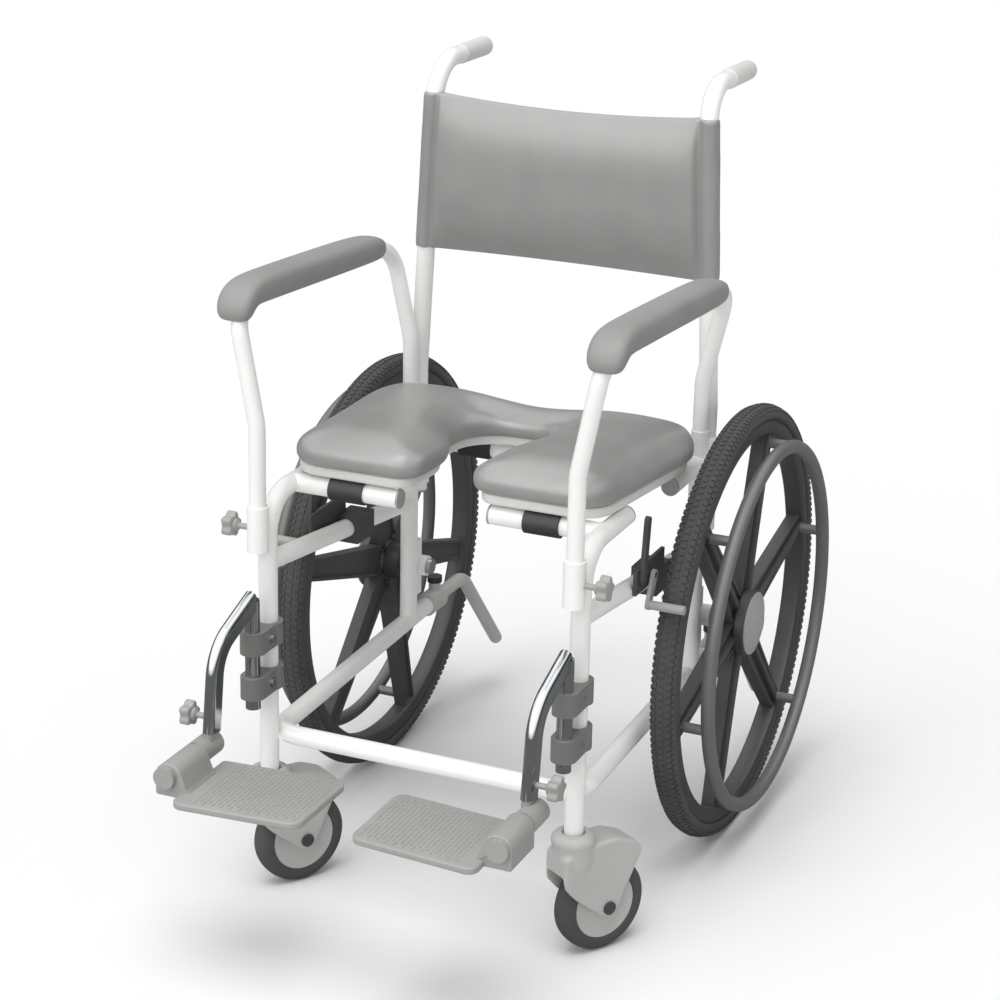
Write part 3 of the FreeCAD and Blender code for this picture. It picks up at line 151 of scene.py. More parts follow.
def finishes(context):
    """Every finish of the chair by its record slot."""
    look = context.scene.chair_colours
    return {
        # Polyester powder coat on steel: even white with a fine orange peel
        "white_coat": finish_of(
            "powder_coat_white", look.coat, {"IOR": 1.5, "Coat Weight": 0.15}, 2.2, 0.05, 0.015,
            (0.32, 0.4)),
        # Calendered PVC upholstery: soft sheen over a pebbled grain, drawn coarse enough to show
        "grey_vinyl": finish_of(
            "upholstery_vinyl", look.vinyl, {"IOR": 1.52, "Specular IOR Level": 0.6}, 2.6, 0.22, 0.05,
            (0.3, 0.42), "ShaderNodeTexVoronoi"),
        # Self-skinned polyurethane foam: matt skin with a fine stipple
        "grey_foam": finish_of(
            "moulded_foam_skin", look.foam, {"IOR": 1.48}, 1.6, 0.12, 0.04, (0.46, 0.58)),
        # Moulded polypropylene: spark-eroded mould texture
        "grey_plastic": finish_of(
            "moulded_plastic_grey", look.grey_plastic, {"IOR": 1.49}, 1.4, 0.08, 0.03, (0.45, 0.56)),
        # Moulded ABS: a paler and slightly smoother shell
        "pale_plastic": finish_of(
            "moulded_plastic_pale", look.pale_plastic, {"IOR": 1.52}, 1.4, 0.06, 0.025, (0.4, 0.5)),
        # Moulded ABS in a lighter shade
        "light_plastic": finish_of(
            "moulded_plastic_light", look.light_plastic, {"IOR": 1.52}, 1.4, 0.06, 0.025,
            (0.4, 0.5)),
        # Moulded nylon of the clamps
        "slate_plastic": finish_of(
            "moulded_plastic_slate", look.slate_plastic, {"IOR": 1.53}, 1.4, 0.08, 0.04,
            (0.42, 0.52)),
        # Glass-filled nylon: dark, with a faint flow mottle
        "charcoal_plastic": finish_of(
            "glass_filled_nylon", look.charcoal, {"IOR": 1.53, "Specular IOR Level": 0.35}, 1.2, 0.08,
            0.08, (0.42, 0.56)),
        # Plastic-coated hand rim: smooth where hands polish it
        "dark_rim": finish_of(
            "coated_hand_rim", look.rim, {"IOR": 1.5}, 2.0, 0.05, 0.05, (0.34, 0.48)),
        # Solid tyre rubber: dull, with patches of dust
        "tyre_rubber": finish_of(
            "solid_tyre_rubber", look.tread, {"IOR": 1.52, "Specular IOR Level": 0.25}, 1.8, 0.15,
            0.12, (0.66, 0.82)),
        # Soft moulded rubber
        "black_rubber": finish_of(
            "soft_rubber_black", look.rubber, {"IOR": 1.52}, 1.5, 0.1, 0.1, (0.55, 0.7)),
        # Bright chromium plate on drawn steel tube
        "chrome_plate": finish_of(
            "chromium_plate", linear("9fa1a3"), {"Metallic": 1.0}, 3.0, 0.01, 0.02, (0.07, 0.13)),
        # Zinc plated steel
        "bright_steel": finish_of(
            "zinc_plated_steel", linear("a9abac"), {"Metallic": 1.0}, 1.5, 0.04, 0.06, (0.28, 0.4)),
    }


# Modelling helpers, in millimetres until a piece is placed

def spun(bm, profile, steps, closed=True):
    """Turns a (radius, height) line about Z."""
    points = [bm.verts.new((radius, 0, height)) for radius, height in profile]
    runs = [bm.edges.new(pair) for pair in zip(points, points[1:])]
    if closed:
        runs.append(bm.edges.new((points[-1], points[0])))
    bmesh.ops.spin(
        bm, geom=points + runs, cent=(0, 0, 0), axis=(0, 0, 1), dvec=(0, 0, 0),
        angle=2 * math.pi, steps=steps, use_merge=True)
    bmesh.ops.remove_doubles(bm, verts=bm.verts, dist=0.001)


def slab(bm, corners, thickness, edge=0.0, segments=8):
    """Plate from (x, y, corner radius), standing on z = 0, with its rims rounded by edge."""
    base = [bm.verts.new((x, y, 0)) for x, y, radius in corners]
    face = bm.faces.new(base)
    raised = bmesh.ops.extrude_face_region(bm, geom=[face])
    tops = [part for part in raised["geom"] if isinstance(part, bmesh.types.BMVert)]
    bmesh.ops.translate(bm, verts=tops, vec=(0, 0, thickness))
    rounds = []
    count = len(corners)
    for i, low in enumerate(base):
        radius = corners[i][2]
        if radius <= 0:
            continue
        here = Vector(corners[i][:2])
        back = (Vector(corners[i - 1][:2]) - here).normalized()
        ahead = (Vector(corners[(i + 1) % count][:2]) - here).normalized()
        reach = radius / math.tan(back.angle(ahead) / 2)
        upright = next(edge for edge in low.link_edges if edge.other_vert(low).co.xy == low.co.xy)
        rounds.append((upright, reach))
    for upright, reach in rounds:
        bmesh.ops.bevel(
            bm, geom=[upright], offset=reach, offset_type="OFFSET", segments=segments, profile=0.5,
            affect="EDGES", material=-1)
    if edge > 0:
        rims = [
            side for side in bm.edges
            if len(side.link_faces) == 2 and side.verts[0].co.z == side.verts[1].co.z
            and any(abs(part.normal.z) > 0.9 for part in side.link_faces)]
        bmesh.ops.bevel(
            bm, geom=rims, offset=edge, offset_type="OFFSET", segments=3, profile=0.5,
            affect="EDGES", material=-1)


def ringed(bm, count):
    """Copies a shape round the Z axis."""
    bmesh.ops.spin(
        bm, geom=list(bm.verts) + list(bm.edges) + list(bm.faces), cent=(0, 0, 0), axis=(0, 0, 1),
        dvec=(0, 0, 0), angle=2 * math.pi * (count - 1) / count, steps=count - 1, use_duplicate=True)


def joined(bm, other):
    """Adds another shape to a bmesh."""
    carrier = bpy.data.meshes.new("carrier")
    other.to_mesh(carrier)
    other.free()
    bm.from_mesh(carrier)
    bpy.data.meshes.remove(carrier)


def placed(bm, name, place=None, sharp=32):
    """Object at the origin with its place in its mesh, from a bmesh in millimetres."""
    bmesh.ops.transform(bm, matrix=Matrix.Scale(MM, 4), verts=bm.verts)
    if place is not None:
        bmesh.ops.transform(bm, matrix=place, verts=bm.verts)
    bmesh.ops.recalc_face_normals(bm, faces=bm.faces)
    mesh = bpy.data.meshes.new(name)
    bm.to_mesh(mesh)
    bm.free()
    mesh.shade_smooth()
    mesh.set_sharp_from_angle(angle=math.radians(sharp))
    made = bpy.data.objects.new(name, mesh)
    bpy.context.scene.collection.objects.link(made)
    return made


def dressed(made, slot, skins, body, *nodes, shade=None):
    """Gives a piece its finish or a shade of it and its body, and hides the CAD nodes that it stands for.
    """
    made.data.materials.clear()
    made.data.materials.append(skins[shade or slot])
    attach(made, body)
    if nodes:
        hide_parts(*nodes)
    return made


def baked(made):
    """Applies a piece's modifiers to its mesh."""
    graph = bpy.context.evaluated_depsgraph_get()
    mesh = bpy.data.meshes.new_from_object(made.evaluated_get(graph))
    old = made.data
    made.modifiers.clear()
    made.data = mesh
    bpy.data.meshes.remove(old)
    return made


def eased(made, turns, free):
    """Smooths the skin where it is free: thick vinyl over foam holds no small creases."""
    bm = bmesh.new()
    bm.from_mesh(made.data)
    loose = [vert for vert in bm.verts if free(vert.co) > 0.2]
    for turn in range(turns):
        bmesh.ops.smooth_vert(
            bm, verts=loose, factor=0.5, use_axis_x=True, use_axis_y=True, use_axis_z=True)
    bm.to_mesh(made.data)
    bm.free()


def filled(made, swell, voxel, frames, free):
    """Remeshes a closed form and fills it with cloth pressure.

    No point moves further than swell, times the share that free gives for its place.
    """
    remesh = made.modifiers.new("grid", "REMESH")
    remesh.mode = "VOXEL"
    remesh.voxel_size = voxel
    baked(made)
    before = [vert.co.copy() for vert in made.data.vertices]
    cloth = made.modifiers.new("filling", "CLOTH")
    cloth.settings.quality = 6
    cloth.settings.tension_stiffness = 60
    cloth.settings.compression_stiffness = 60
    cloth.settings.shear_stiffness = 30
    cloth.settings.bending_stiffness = 20
    cloth.settings.use_pressure = True
    cloth.settings.uniform_pressure_force = 4
    cloth.settings.effector_weights.gravity = 0
    cloth.point_cache.frame_start = 1
    cloth.point_cache.frame_end = frames
    for step in range(1, frames + 1):
        bpy.context.scene.frame_set(step)
    baked(made)
    bpy.context.scene.frame_set(1)
    for vert, start in zip(made.data.vertices, before):
        move = vert.co - start
        share = min(1, swell / max(move.length, 1e-9)) * free(start)
        vert.co = start + move * share


# Places shared with the frame

WHEEL_X, WHEEL_Y, WHEEL_Z = 0.271, 0.211, 0.305
WHEEL_TURNS = (44, 45)
WHEEL_PLACES = {
    word: Matrix.Translation((side * WHEEL_X, WHEEL_Y, WHEEL_Z))
    @ Vector((0, 0, 1)).rotation_difference(Vector((side, 0, 0))).to_matrix().to_4x4()
    @ Matrix.Rotation(math.radians(turn), 4, "Z")
    for (word, side), turn in zip(SIDES, WHEEL_TURNS)
}
CASTER_X, CASTER_Y = 0.217, -0.247
CASTER_TURN = math.radians(-32)
CASTER_PLACES = {
    word: Matrix.Translation((side * CASTER_X, CASTER_Y, 0)) @ Matrix.Rotation(CASTER_TURN, 4, "Z")
    for word, side in SIDES
}
CASTER_TRAIL = 43
CASTER_R = 64
# The seat rests on the front stubs and the rear rail, on sleeved tubes
STUB_Y, STUB_Z = -0.176, 0.551
SEAT_RAIL_Y, SEAT_RAIL_Z = 0.104, 0.5385
SLEEVE_R = 0.0163
SEAT_TILT = math.atan2(STUB_Z - SEAT_RAIL_Z, SEAT_RAIL_Y - STUB_Y)
SEAT_PLACE = (
    Matrix.Translation((0, STUB_Y, STUB_Z)) @ Matrix.Rotation(-SEAT_TILT, 4, "X")
    @ Matrix.Translation((0, -STUB_Y, SLEEVE_R)))
BOARD_T = 15
CUSHION_T = 46
HORSESHOE = [
    (43, -194, 30), (218, -194, 46), (242, 152, 84), (-242, 152, 84), (-218, -194, 46), (-43, -194, 30),
    (-43, -95, 70), (-66, -30, 50), (-66, 70, 56), (66, 70, 56), (66, -30, 50), (43, -95, 70)]


def drawn_in(corners, inset):
    """The same outline, with each side moved inwards."""
    middle = []
    count = len(corners)
    for i, (x, y, radius) in enumerate(corners):
        here = Vector((x, y))
        back = (Vector(corners[i - 1][:2]) - here).normalized()
        ahead = (Vector(corners[(i + 1) % count][:2]) - here).normalized()
        inward = Vector((-ahead.y, ahead.x))
        other = Vector((back.y, -back.x))
        across = (inward + other) / (1 + inward.dot(other))
        turn = ahead.cross(back)
        grown = radius - inset if turn > 0 else radius + inset
        spot = here + across * inset
        middle.append((spot.x, spot.y, max(grown, 1)))
    return middle


# Operators

class CHAIR_OT_seat(Operator):
    """Builds the horseshoe seat: moulded board and vinyl cushion"""
    bl_idname = "chair.seat"
    bl_label = "Seat"

    # Share of the cushion's height that is lost at its edges and in the saddle, and their reach
    EDGE_FALL, EDGE_REACH = 0.3, 0.024
    SADDLE, SADDLE_REACH = 0.24, 0.092
    # Where the saddle sets in, and the length over which it does
    REAR_START, REAR_RUN = 0.02, 0.13

    def away(self, spot, start, end):
        """Distance of a place from one side of the outline."""
        share = intersect_point_line(spot, start, end)[1]
        near = start.lerp(end, max(0, min(1, share)))
        return (spot - near).length

    def execute(self, context):
        size = context.scene.chair_sizes
        skins = finishes(context)
        board = bmesh.new()
        slab(board, drawn_in(HORSESHOE, 4), BOARD_T, 4.5)
        dressed(placed(board, "seat_board_shell", SEAT_PLACE), "pale_plastic", skins, "seat", "seat_board",
                shade="light_plastic")

        core = bmesh.new()
        slab(core, drawn_in(HORSESHOE, -7), CUSHION_T + 4, 18)
        bmesh.ops.translate(core, verts=core.verts, vec=(0, 0, BOARD_T - 7))
        cushion = placed(core, "seat_cushion_vinyl")
        filled(cushion, size.cushion_swell, size.voxel, size.cloth_frames, lambda spot: 1)
        eased(cushion, 16, lambda spot: 1)
        floor_z = (BOARD_T + 0.3) * MM
        crown = (BOARD_T + CUSHION_T) * MM
        sides = [(Vector((*start[:2], 0)) * MM, Vector((*end[:2], 0)) * MM)
                 for start, end in zip(HORSESHOE, HORSESHOE[1:] + HORSESHOE[:1])]
        for vert in cushion.data.vertices:
            spot = Vector((vert.co.x, vert.co.y, 0))
            inside = min(self.away(spot, *ends) for ends in sides)
            up = max(0, (vert.co.z - floor_z) / (crown - floor_z))
            # The skin falls away to its edges, and the rear middle is sat down into a saddle
            fall = self.EDGE_FALL * math.exp(-inside / self.EDGE_REACH)
            rear = 1 / (1 + math.exp(-6 * ((vert.co.y - self.REAR_START) / self.REAR_RUN - 0.3)))
            saddle = self.SADDLE * math.exp(-(vert.co.x / self.SADDLE_REACH) ** 2) * rear
            vert.co.z = max(floor_z, min(floor_z + (crown - floor_z) * up * (1 - fall - saddle), crown))
        eased(cushion, 7, lambda spot: spot.z - floor_z > 8 * MM)
        cushion.data.transform(SEAT_PLACE)
        round_off = cushion.modifiers.new("smooth", "SUBSURF")
        round_off.levels = round_off.render_levels = 1
        dressed(baked(cushion), "grey_vinyl", skins, "seat", "seat_cushion")
        cushion.data.shade_smooth()
        return {"FINISHED"}


class CHAIR_OT_backrest(Operator):
    """Builds the padded vinyl backrest that is sleeved over the posts"""
    bl_idname = "chair.backrest"
    bl_label = "Backrest"

    POST_Y = 205
    # A post's way out and its height, at its foot and at the handle
    FOOT_X, FOOT_Z = 217, 610
    TOP_X, TOP_Z = 196, 1042
    LOW = 785
    HIGH = 1003
    WRAP = 15.2
    SEAM_IN = 0.009
    SEAM_DENT, SEAM_REACH = 0.3, 0.0035

    def post_x(self, height):
        """Middle of a post at a height in millimetres."""
        rise = (height - self.FOOT_Z) / (self.TOP_Z - self.FOOT_Z)
        return self.FOOT_X + (self.TOP_X - self.FOOT_X) * rise

    def execute(self, context):
        size = context.scene.chair_sizes
        skins = finishes(context)
        wrap = self.WRAP
        bm = bmesh.new()
        reach = self.post_x(self.LOW)
        slab(bm, [
            (-reach - wrap, -wrap, wrap - 1), (reach + wrap, -wrap, wrap - 1),
            (reach + wrap, wrap, wrap - 1), (-reach - wrap, wrap, wrap - 1)], self.HIGH - self.LOW)
        bmesh.ops.translate(bm, verts=bm.verts, vec=(0, self.POST_Y, self.LOW))
        for vert in bm.verts:
            vert.co.x += (self.post_x(vert.co.z) - reach) * math.copysign(1, vert.co.x)
        back = placed(bm, "backrest_vinyl")
        middle = (self.LOW + self.HIGH) / 2 * MM
        half = (self.HIGH - self.LOW) / 2 * MM

        def height_of(spot):
            return max(-1, min(1, (spot.z - middle) / half))

        def seam_of(spot):
            return self.post_x(spot.z / MM) * MM - self.SEAM_IN

        def panel(spot):
            """Share of the padded panel: 1 between the seams, 0 on the sleeves and the hems."""
            inside = max(0, 1 - (abs(spot.x) / seam_of(spot)) ** 8)
            return inside * max(0, 1 - abs(height_of(spot)) ** 6)

        filled(back, size.back_swell, size.voxel, size.cloth_frames, panel)
        eased(back, 6, panel)
        smooth = back.modifiers.new("smooth", "SUBSURF")
        smooth.levels = smooth.render_levels = 1
        baked(back)
        for vert in back.data.vertices:
            height = height_of(vert.co)
            seam = seam_of(vert.co)
            inside = 1 / (1 + math.exp((abs(vert.co.x) - seam + 0.003) / 0.0025))
            # The panel is stretched over the front of the posts and narrows to its sewn hems
            full = max(0, 1 - abs(height) ** 3)
            depth = (vert.co.y / MM - self.POST_Y) / wrap
            hem = -5 - 3.5 * full + depth * (3 + 11.5 * full)
            depth = depth * wrap * (1 - inside) + hem * inside
            away = abs(abs(vert.co.x) - seam)
            depth *= 1 - self.SEAM_DENT * math.exp(-(away / self.SEAM_REACH) ** 2)
            vert.co.y = (self.POST_Y + depth) * MM
            # The top edge hangs a little between the posts, and the lower hem rises
            span = max(0, 1 - (vert.co.x / seam) ** 2)
            vert.co.z -= size.back_sag * span * max(0, height) ** 2
            vert.co.z += 0.3 * size.back_sag * span * max(0, -height) ** 2
        dressed(back, "grey_vinyl", skins, "frame", "backrest_cover")
        back.data.shade_smooth()
        return {"FINISHED"}


class CHAIR_OT_armrest_pads(Operator):
    """Builds the moulded armrest pads that curve down over the front of each tube"""
    bl_idname = "chair.armrest_pads"
    bl_label = "Armrest Pads"

    PAD_X = 247
    # Way along the pad, height of its middle, tilt, half width and half height
    STATIONS = (
        (124, 796, 0, 15, 8), (118, 797.5, 0, 20, 14), (104, 799, 0, 24, 17.5), (60, 802.5, 0, 26, 19),
        (-30, 807.5, 0, 26, 19.5), (-120, 812.5, 0, 26, 19.5), (-200, 816.5, 2, 26, 19.5),
        (-238, 818, 12, 26, 19.2), (-257, 813.5, 36, 26, 18), (-266, 806, 62, 25.5, 17),
        (-270, 797.5, 84, 24, 15.8), (-270.5, 790, 90, 20.5, 13.5), (-270.5, 786.5, 90, 15, 9))

    def execute(self, context):
        skins = finishes(context)
        for word, side in SIDES:
            bm = bmesh.new()
            ring = bmesh.ops.create_circle(bm, segments=16, radius=1, cap_ends=True)["verts"]
            for vert in ring:
                # A squarish oval: flatter top and bottom than an ellipse
                vert.co.x = math.copysign(abs(vert.co.x) ** 0.7, vert.co.x)
                vert.co.y = math.copysign(abs(vert.co.y) ** 0.7, vert.co.y)
            shape = [vert.co.copy() for vert in ring]
            face = next(iter(bm.faces))
            for i, (y, z, tilt, wide, high) in enumerate(self.STATIONS):
                if i:
                    grown = bmesh.ops.extrude_face_region(bm, geom=[face])["geom"]
                    if i > 1 and face.is_valid:
                        bmesh.ops.delete(bm, geom=[face], context="FACES_ONLY")
                    face = next(part for part in grown if isinstance(part, bmesh.types.BMFace))
                    ring = self.in_order(ring, grown)
                turn = Matrix.Rotation(math.radians(tilt), 4, "X")
                middle = Vector((side * self.PAD_X, y, z))
                for vert, spot in zip(ring, shape):
                    vert.co = turn @ Vector((spot.x * wide, 0, spot.y * high)) + middle
            pad = placed(bm, word + "_armrest_foam", sharp=180)
            smooth = pad.modifiers.new("smooth", "SUBSURF")
            smooth.levels = smooth.render_levels = 2
            dressed(baked(pad), "grey_foam", skins, word + "_armrest", word + "_armrest_pad")
            pad.data.shade_smooth()
        return {"FINISHED"}

    def in_order(self, ring, grown):
        """The new ring's corners in the order of the last ring's."""
        fresh = {part for part in grown if isinstance(part, bmesh.types.BMVert)}
        return [next(edge.other_vert(vert) for edge in vert.link_edges if edge.other_vert(vert) in fresh)
                for vert in ring]


class CHAIR_OT_rear_wheels(Operator):
    """Builds the spoked wheels, treaded tyres and hub caps"""
    bl_idname = "chair.rear_wheels"
    bl_label = "Rear Wheels"

    SPOKES = 6
    # Start and half width of a spoke at the hub and at the rim, and half its thickness
    ROOT, ROOT_HALF = 24, 23
    TIP, TIP_HALF = 266, 15
    FACE = 9
    HUB_CAP = [
        (0, 24), (43, 24), (44, 25), (44, 26.2), (43, 27.2), (17, 35.2), (14.8, 36), (13.8, 36),
        (13, 35.2), (12.2, 35.2), (11.4, 36), (0, 36)]
    TREAD_R = 303.2
    # Place across the tyre, tilt, shift by a share of the pitch, and width of each row of blocks
    TREAD_ROWS = (
        (0, 0, 0, 6.4), (9.2, 26, 0.5, 5.2), (-9.2, -26, 0.5, 5.2), (14.2, 52, 0, 3.6),
        (-14.2, -52, 0, 3.6))

    def spoke(self):
        """One tapered spoke with recessed flanks, along +X."""
        bm = bmesh.new()
        foot = bm.faces.new([bm.verts.new((self.ROOT, across * self.ROOT_HALF, up * self.FACE))
                             for across, up in ((-1, -1), (1, -1), (1, 1), (-1, 1))])
        grown = bmesh.ops.extrude_face_region(bm, geom=[foot])["geom"]
        for vert in (part for part in grown if isinstance(part, bmesh.types.BMVert)):
            vert.co = Vector((self.TIP, vert.co.y * self.TIP_HALF / self.ROOT_HALF, vert.co.z))
        bm.normal_update()
        broad = [part for part in bm.faces if abs(part.normal.z) > 0.9]
        bmesh.ops.inset_region(bm, faces=broad, thickness=4.5, depth=0, use_even_offset=True)
        bmesh.ops.inset_individual(bm, faces=broad, thickness=1.2, depth=-3.2, use_even_offset=True)
        ribs = bmesh.ops.create_cube(bm, size=1)["verts"]
        bmesh.ops.scale(bm, vec=(236, 9, 14), verts=ribs)
        bmesh.ops.translate(bm, vec=(144, 0, 7), verts=ribs)
        edges = list({edge for vert in ribs for edge in vert.link_edges})
        bmesh.ops.bevel(
            bm, geom=edges, offset=1.5, offset_type="OFFSET", segments=2, profile=0.5,
            affect="EDGES", material=-1)
        return bm

    def wheel(self, word):
        bm = self.spoke()
        ringed(bm, self.SPOKES)
        rim = bmesh.new()
        spun(rim, [
            (262, -9), (263.5, -12), (267, -14), (281, -14), (284, -12), (284, 12), (281, 14), (267, 14),
            (263.5, 12), (262, 9)], 120)
        joined(bm, rim)
        hub = bmesh.new()
        spun(hub, [
            (14.4, -32), (26, -32), (27, -31), (27, -7), (31, -4), (43, 8), (46, 12), (46, 22.5),
            (44.5, 24), (14.4, 24)], 64)
        joined(bm, hub)
        return placed(bm, word + "_spoked_wheel", WHEEL_PLACES[word])

    def tyre(self, word, pitch):
        bm = bmesh.new()
        half = [(303.4, 0), (302.9, 5), (301.2, 9.5), (298, 13.6), (294, 16.2), (290, 17), (286.6, 16.4),
                (284, 13.6)]
        spun(bm, [(radius, -z) for radius, z in reversed(half)] + half[1:], 144)
        count = int(2 * math.pi * self.TREAD_R / (pitch / MM))
        for across, tilt, turn, wide in self.TREAD_ROWS:
            row = bmesh.new()
            block = bmesh.ops.create_cube(row, size=1)["verts"]
            bmesh.ops.scale(row, vec=(3.2, 0.58 * pitch / MM, wide), verts=block)
            lean = Matrix.Rotation(math.radians(-tilt), 3, "Y")
            bmesh.ops.rotate(row, cent=(0, 0, 0), matrix=lean, verts=block)
            bmesh.ops.translate(row, vec=(self.TREAD_R - 0.026 * across ** 2, 0, across), verts=block)
            step = Matrix.Rotation(2 * math.pi * turn / count, 3, "Z")
            bmesh.ops.rotate(row, cent=(0, 0, 0), matrix=step, verts=block)
            ringed(row, count)
            joined(bm, row)
        return placed(bm, word + "_treaded_tyre", WHEEL_PLACES[word])

    def execute(self, context):
        skins = finishes(context)
        pitch = context.scene.chair_sizes.tread_pitch
        for word, side in SIDES:
            body = word + "_rear_wheel"
            dressed(self.wheel(word), "charcoal_plastic", skins, body, word + "_mag_wheel")
            dressed(self.tyre(word, pitch), "tyre_rubber", skins, body, word + "_tyre")
            cap = bmesh.new()
            spun(cap, self.HUB_CAP, 72, False)
            dressed(placed(cap, word + "_hub_cover", WHEEL_PLACES[word]), "pale_plastic", skins, body,
                    word + "_hub_cap", shade="grey_plastic")
        return {"FINISHED"}


class CHAIR_OT_casters(Operator):
    """Builds the hooded casters with their rollers"""
    bl_idname = "chair.casters"
    bl_label = "Casters"

    HOOD = [
        (-27, 150, 8), (-27, 108, 14), (-10, 88, 10), (27, 57, 12), (43, 48, 12), (59, 57, 12),
        (88, 118, 8), (96, 132, 10), (88, 147, 22), (56, 160, 24), (26, 160, 4)]
    HOOD_W = 47
    HOLLOW = [
        (-60, -10, 0), (108, -10, 0), (108, 116, 0), (90, 132, 10), (80, 144, 16), (54, 152, 20),
        (30, 146, 10), (0, 126, 10), (-60, 114, 0)]
    HOLLOW_W = 36
    MOULDING_GRID = 1.5

    def housing(self, word):
        """Hooded fork: a rounded side outline pulled across, hollowed for the wheel."""
        turn = Matrix.Rotation(math.radians(90), 4, "Z") @ Matrix.Rotation(math.radians(90), 4, "X")
        bm = bmesh.new()
        slab(bm, self.HOOD, self.HOOD_W, 5)
        bmesh.ops.translate(bm, verts=bm.verts, vec=(0, 0, -self.HOOD_W / 2))
        bmesh.ops.transform(bm, matrix=turn, verts=bm.verts)
        hood = placed(bm, word + "_caster_hood")
        hollow = bmesh.new()
        slab(hollow, self.HOLLOW, self.HOLLOW_W)
        bmesh.ops.translate(hollow, verts=hollow.verts, vec=(0, 0, -self.HOLLOW_W / 2))
        bmesh.ops.transform(hollow, matrix=turn, verts=hollow.verts)
        self.carved(hood, placed(hollow, word + "_hollow"), "DIFFERENCE")
        collar = bmesh.new()
        spun(collar, [
            (14, 158), (14, 173.4), (15.4, 175), (19, 174.6), (24, 172.4), (27.6, 168.6),
            (29, 164.5), (29, 160.5), (27.6, 158.6), (27.4, 134), (25, 126), (6.1, 126),
            (6.1, 158)], 64)
        self.carved(hood, placed(collar, word + "_collar"), "UNION")
        # One moulding: the collar runs into the hood with a soft fillet
        remesh = hood.modifiers.new("moulding", "REMESH")
        remesh.mode = "VOXEL"
        remesh.voxel_size = self.MOULDING_GRID * MM
        baked(hood)
        eased(hood, 8, lambda spot: 1)
        hood.data.transform(CASTER_PLACES[word])
        hood.data.shade_smooth()
        hood.data.set_sharp_from_angle(angle=math.radians(32))
        return hood

    def carved(self, base, tool, operation):
        """Joins or takes away a tool shape."""
        step = base.modifiers.new("shape", "BOOLEAN")
        step.operation = operation
        step.object = tool
        step.solver = "EXACT"
        baked(base)
        bpy.data.objects.remove(tool)

    def execute(self, context):
        skins = finishes(context)
        for word, side in SIDES:
            dressed(self.housing(word), "pale_plastic", skins, word + "_caster", word + "_caster_housing")
            roll = CASTER_PLACES[word] @ Matrix.Translation((0, CASTER_TRAIL * MM, CASTER_R * MM)) \
                @ Matrix.Rotation(math.radians(90), 4, "Y")
            disc = bmesh.new()
            half = [(4.1, 17.6), (11, 17.6), (12, 16.8), (12.6, 14.6), (16, 13.6), (36, 13.2), (41, 14.5),
                    (44.4, 14.5), (45, 13.8)]
            spun(disc, half + [(radius, -z) for radius, z in reversed(half)], 72)
            dressed(placed(disc, word + "_caster_disc", roll), "pale_plastic", skins,
                    word + "_caster_roller", word + "_caster_wheel")
            band = bmesh.new()
            half = [(45, 13.8), (46.5, 15.6), (50, 16), (55, 15.6), (59.5, 13.6), (62.6, 10),
                    (63.7, 5), (CASTER_R, 0)]
            spun(band, half + [(radius, -z) for radius, z in reversed(half[:-1])], 96)
            dressed(placed(band, word + "_caster_band", roll), "tyre_rubber", skins,
                    word + "_caster_roller", word + "_caster_tyre")
        return {"FINISHED"}


class CHAIR_OT_footplates(Operator):
    """Builds the footplates with their anti-slip rows and hinge blocks"""
    bl_idname = "chair.footplates"
    bl_label = "Footplates"

    PLATE_Z = 238
    PLATE_T = 9.2
    INNER = 34
    ROWS_IN = 10
    ROWS_W = 144
    BARS = 9
    BAR_PITCH = 13.2
    SKEW = 0.086
    BLOCK_LEN = 69.7
    BLOCK_REAR = -430.3

    def execute(self, context):
        skins = finishes(context)
        pitch = context.scene.chair_sizes.rib_pitch / MM
        for word, side in SIDES:
            flip = Matrix.Scale(side, 4, (1, 0, 0))
            bm = bmesh.new()
            slab(bm, [
                (self.INNER, -514, 16), (204, -528, 14), (204, -392, 6), (self.INNER, -378, 16)],
                self.PLATE_T, 2.2)
            for row in range(int(self.ROWS_W / pitch)):
                across = self.INNER + self.ROWS_IN + row * pitch
                # Every other row is set off by half a bar, and all follow the plate's skew
                start = -500 + self.BAR_PITCH / 2 * (row % 2) - self.SKEW * (across - self.INNER)
                for bar in range(self.BARS):
                    rib = bmesh.ops.create_cube(bm, size=1)["verts"]
                    bmesh.ops.scale(bm, vec=(2, 9.2, 1), verts=rib)
                    bmesh.ops.translate(
                        bm, verts=rib, vec=(across, start + bar * self.BAR_PITCH, self.PLATE_T))
            bmesh.ops.translate(bm, verts=bm.verts, vec=(0, 0, self.PLATE_Z))
            block = bmesh.new()
            slab(block, [
                (186, 239, 2), (239, 239, 3), (239, 266, 15.5), (239, 282, 15.9), (207, 282, 15.9),
                (196, 252, 6)], self.BLOCK_LEN, 2)
            bmesh.ops.transform(block, matrix=Matrix.Rotation(math.radians(90), 4, "X"), verts=block.verts)
            bmesh.ops.translate(block, verts=block.verts, vec=(0, self.BLOCK_REAR, 0))
            joined(bm, block)
            plate = placed(bm, word + "_footplate_moulding", flip)
            dressed(plate, "grey_plastic", skins, word + "_plate", word + "_footplate")
        return {"FINISHED"}


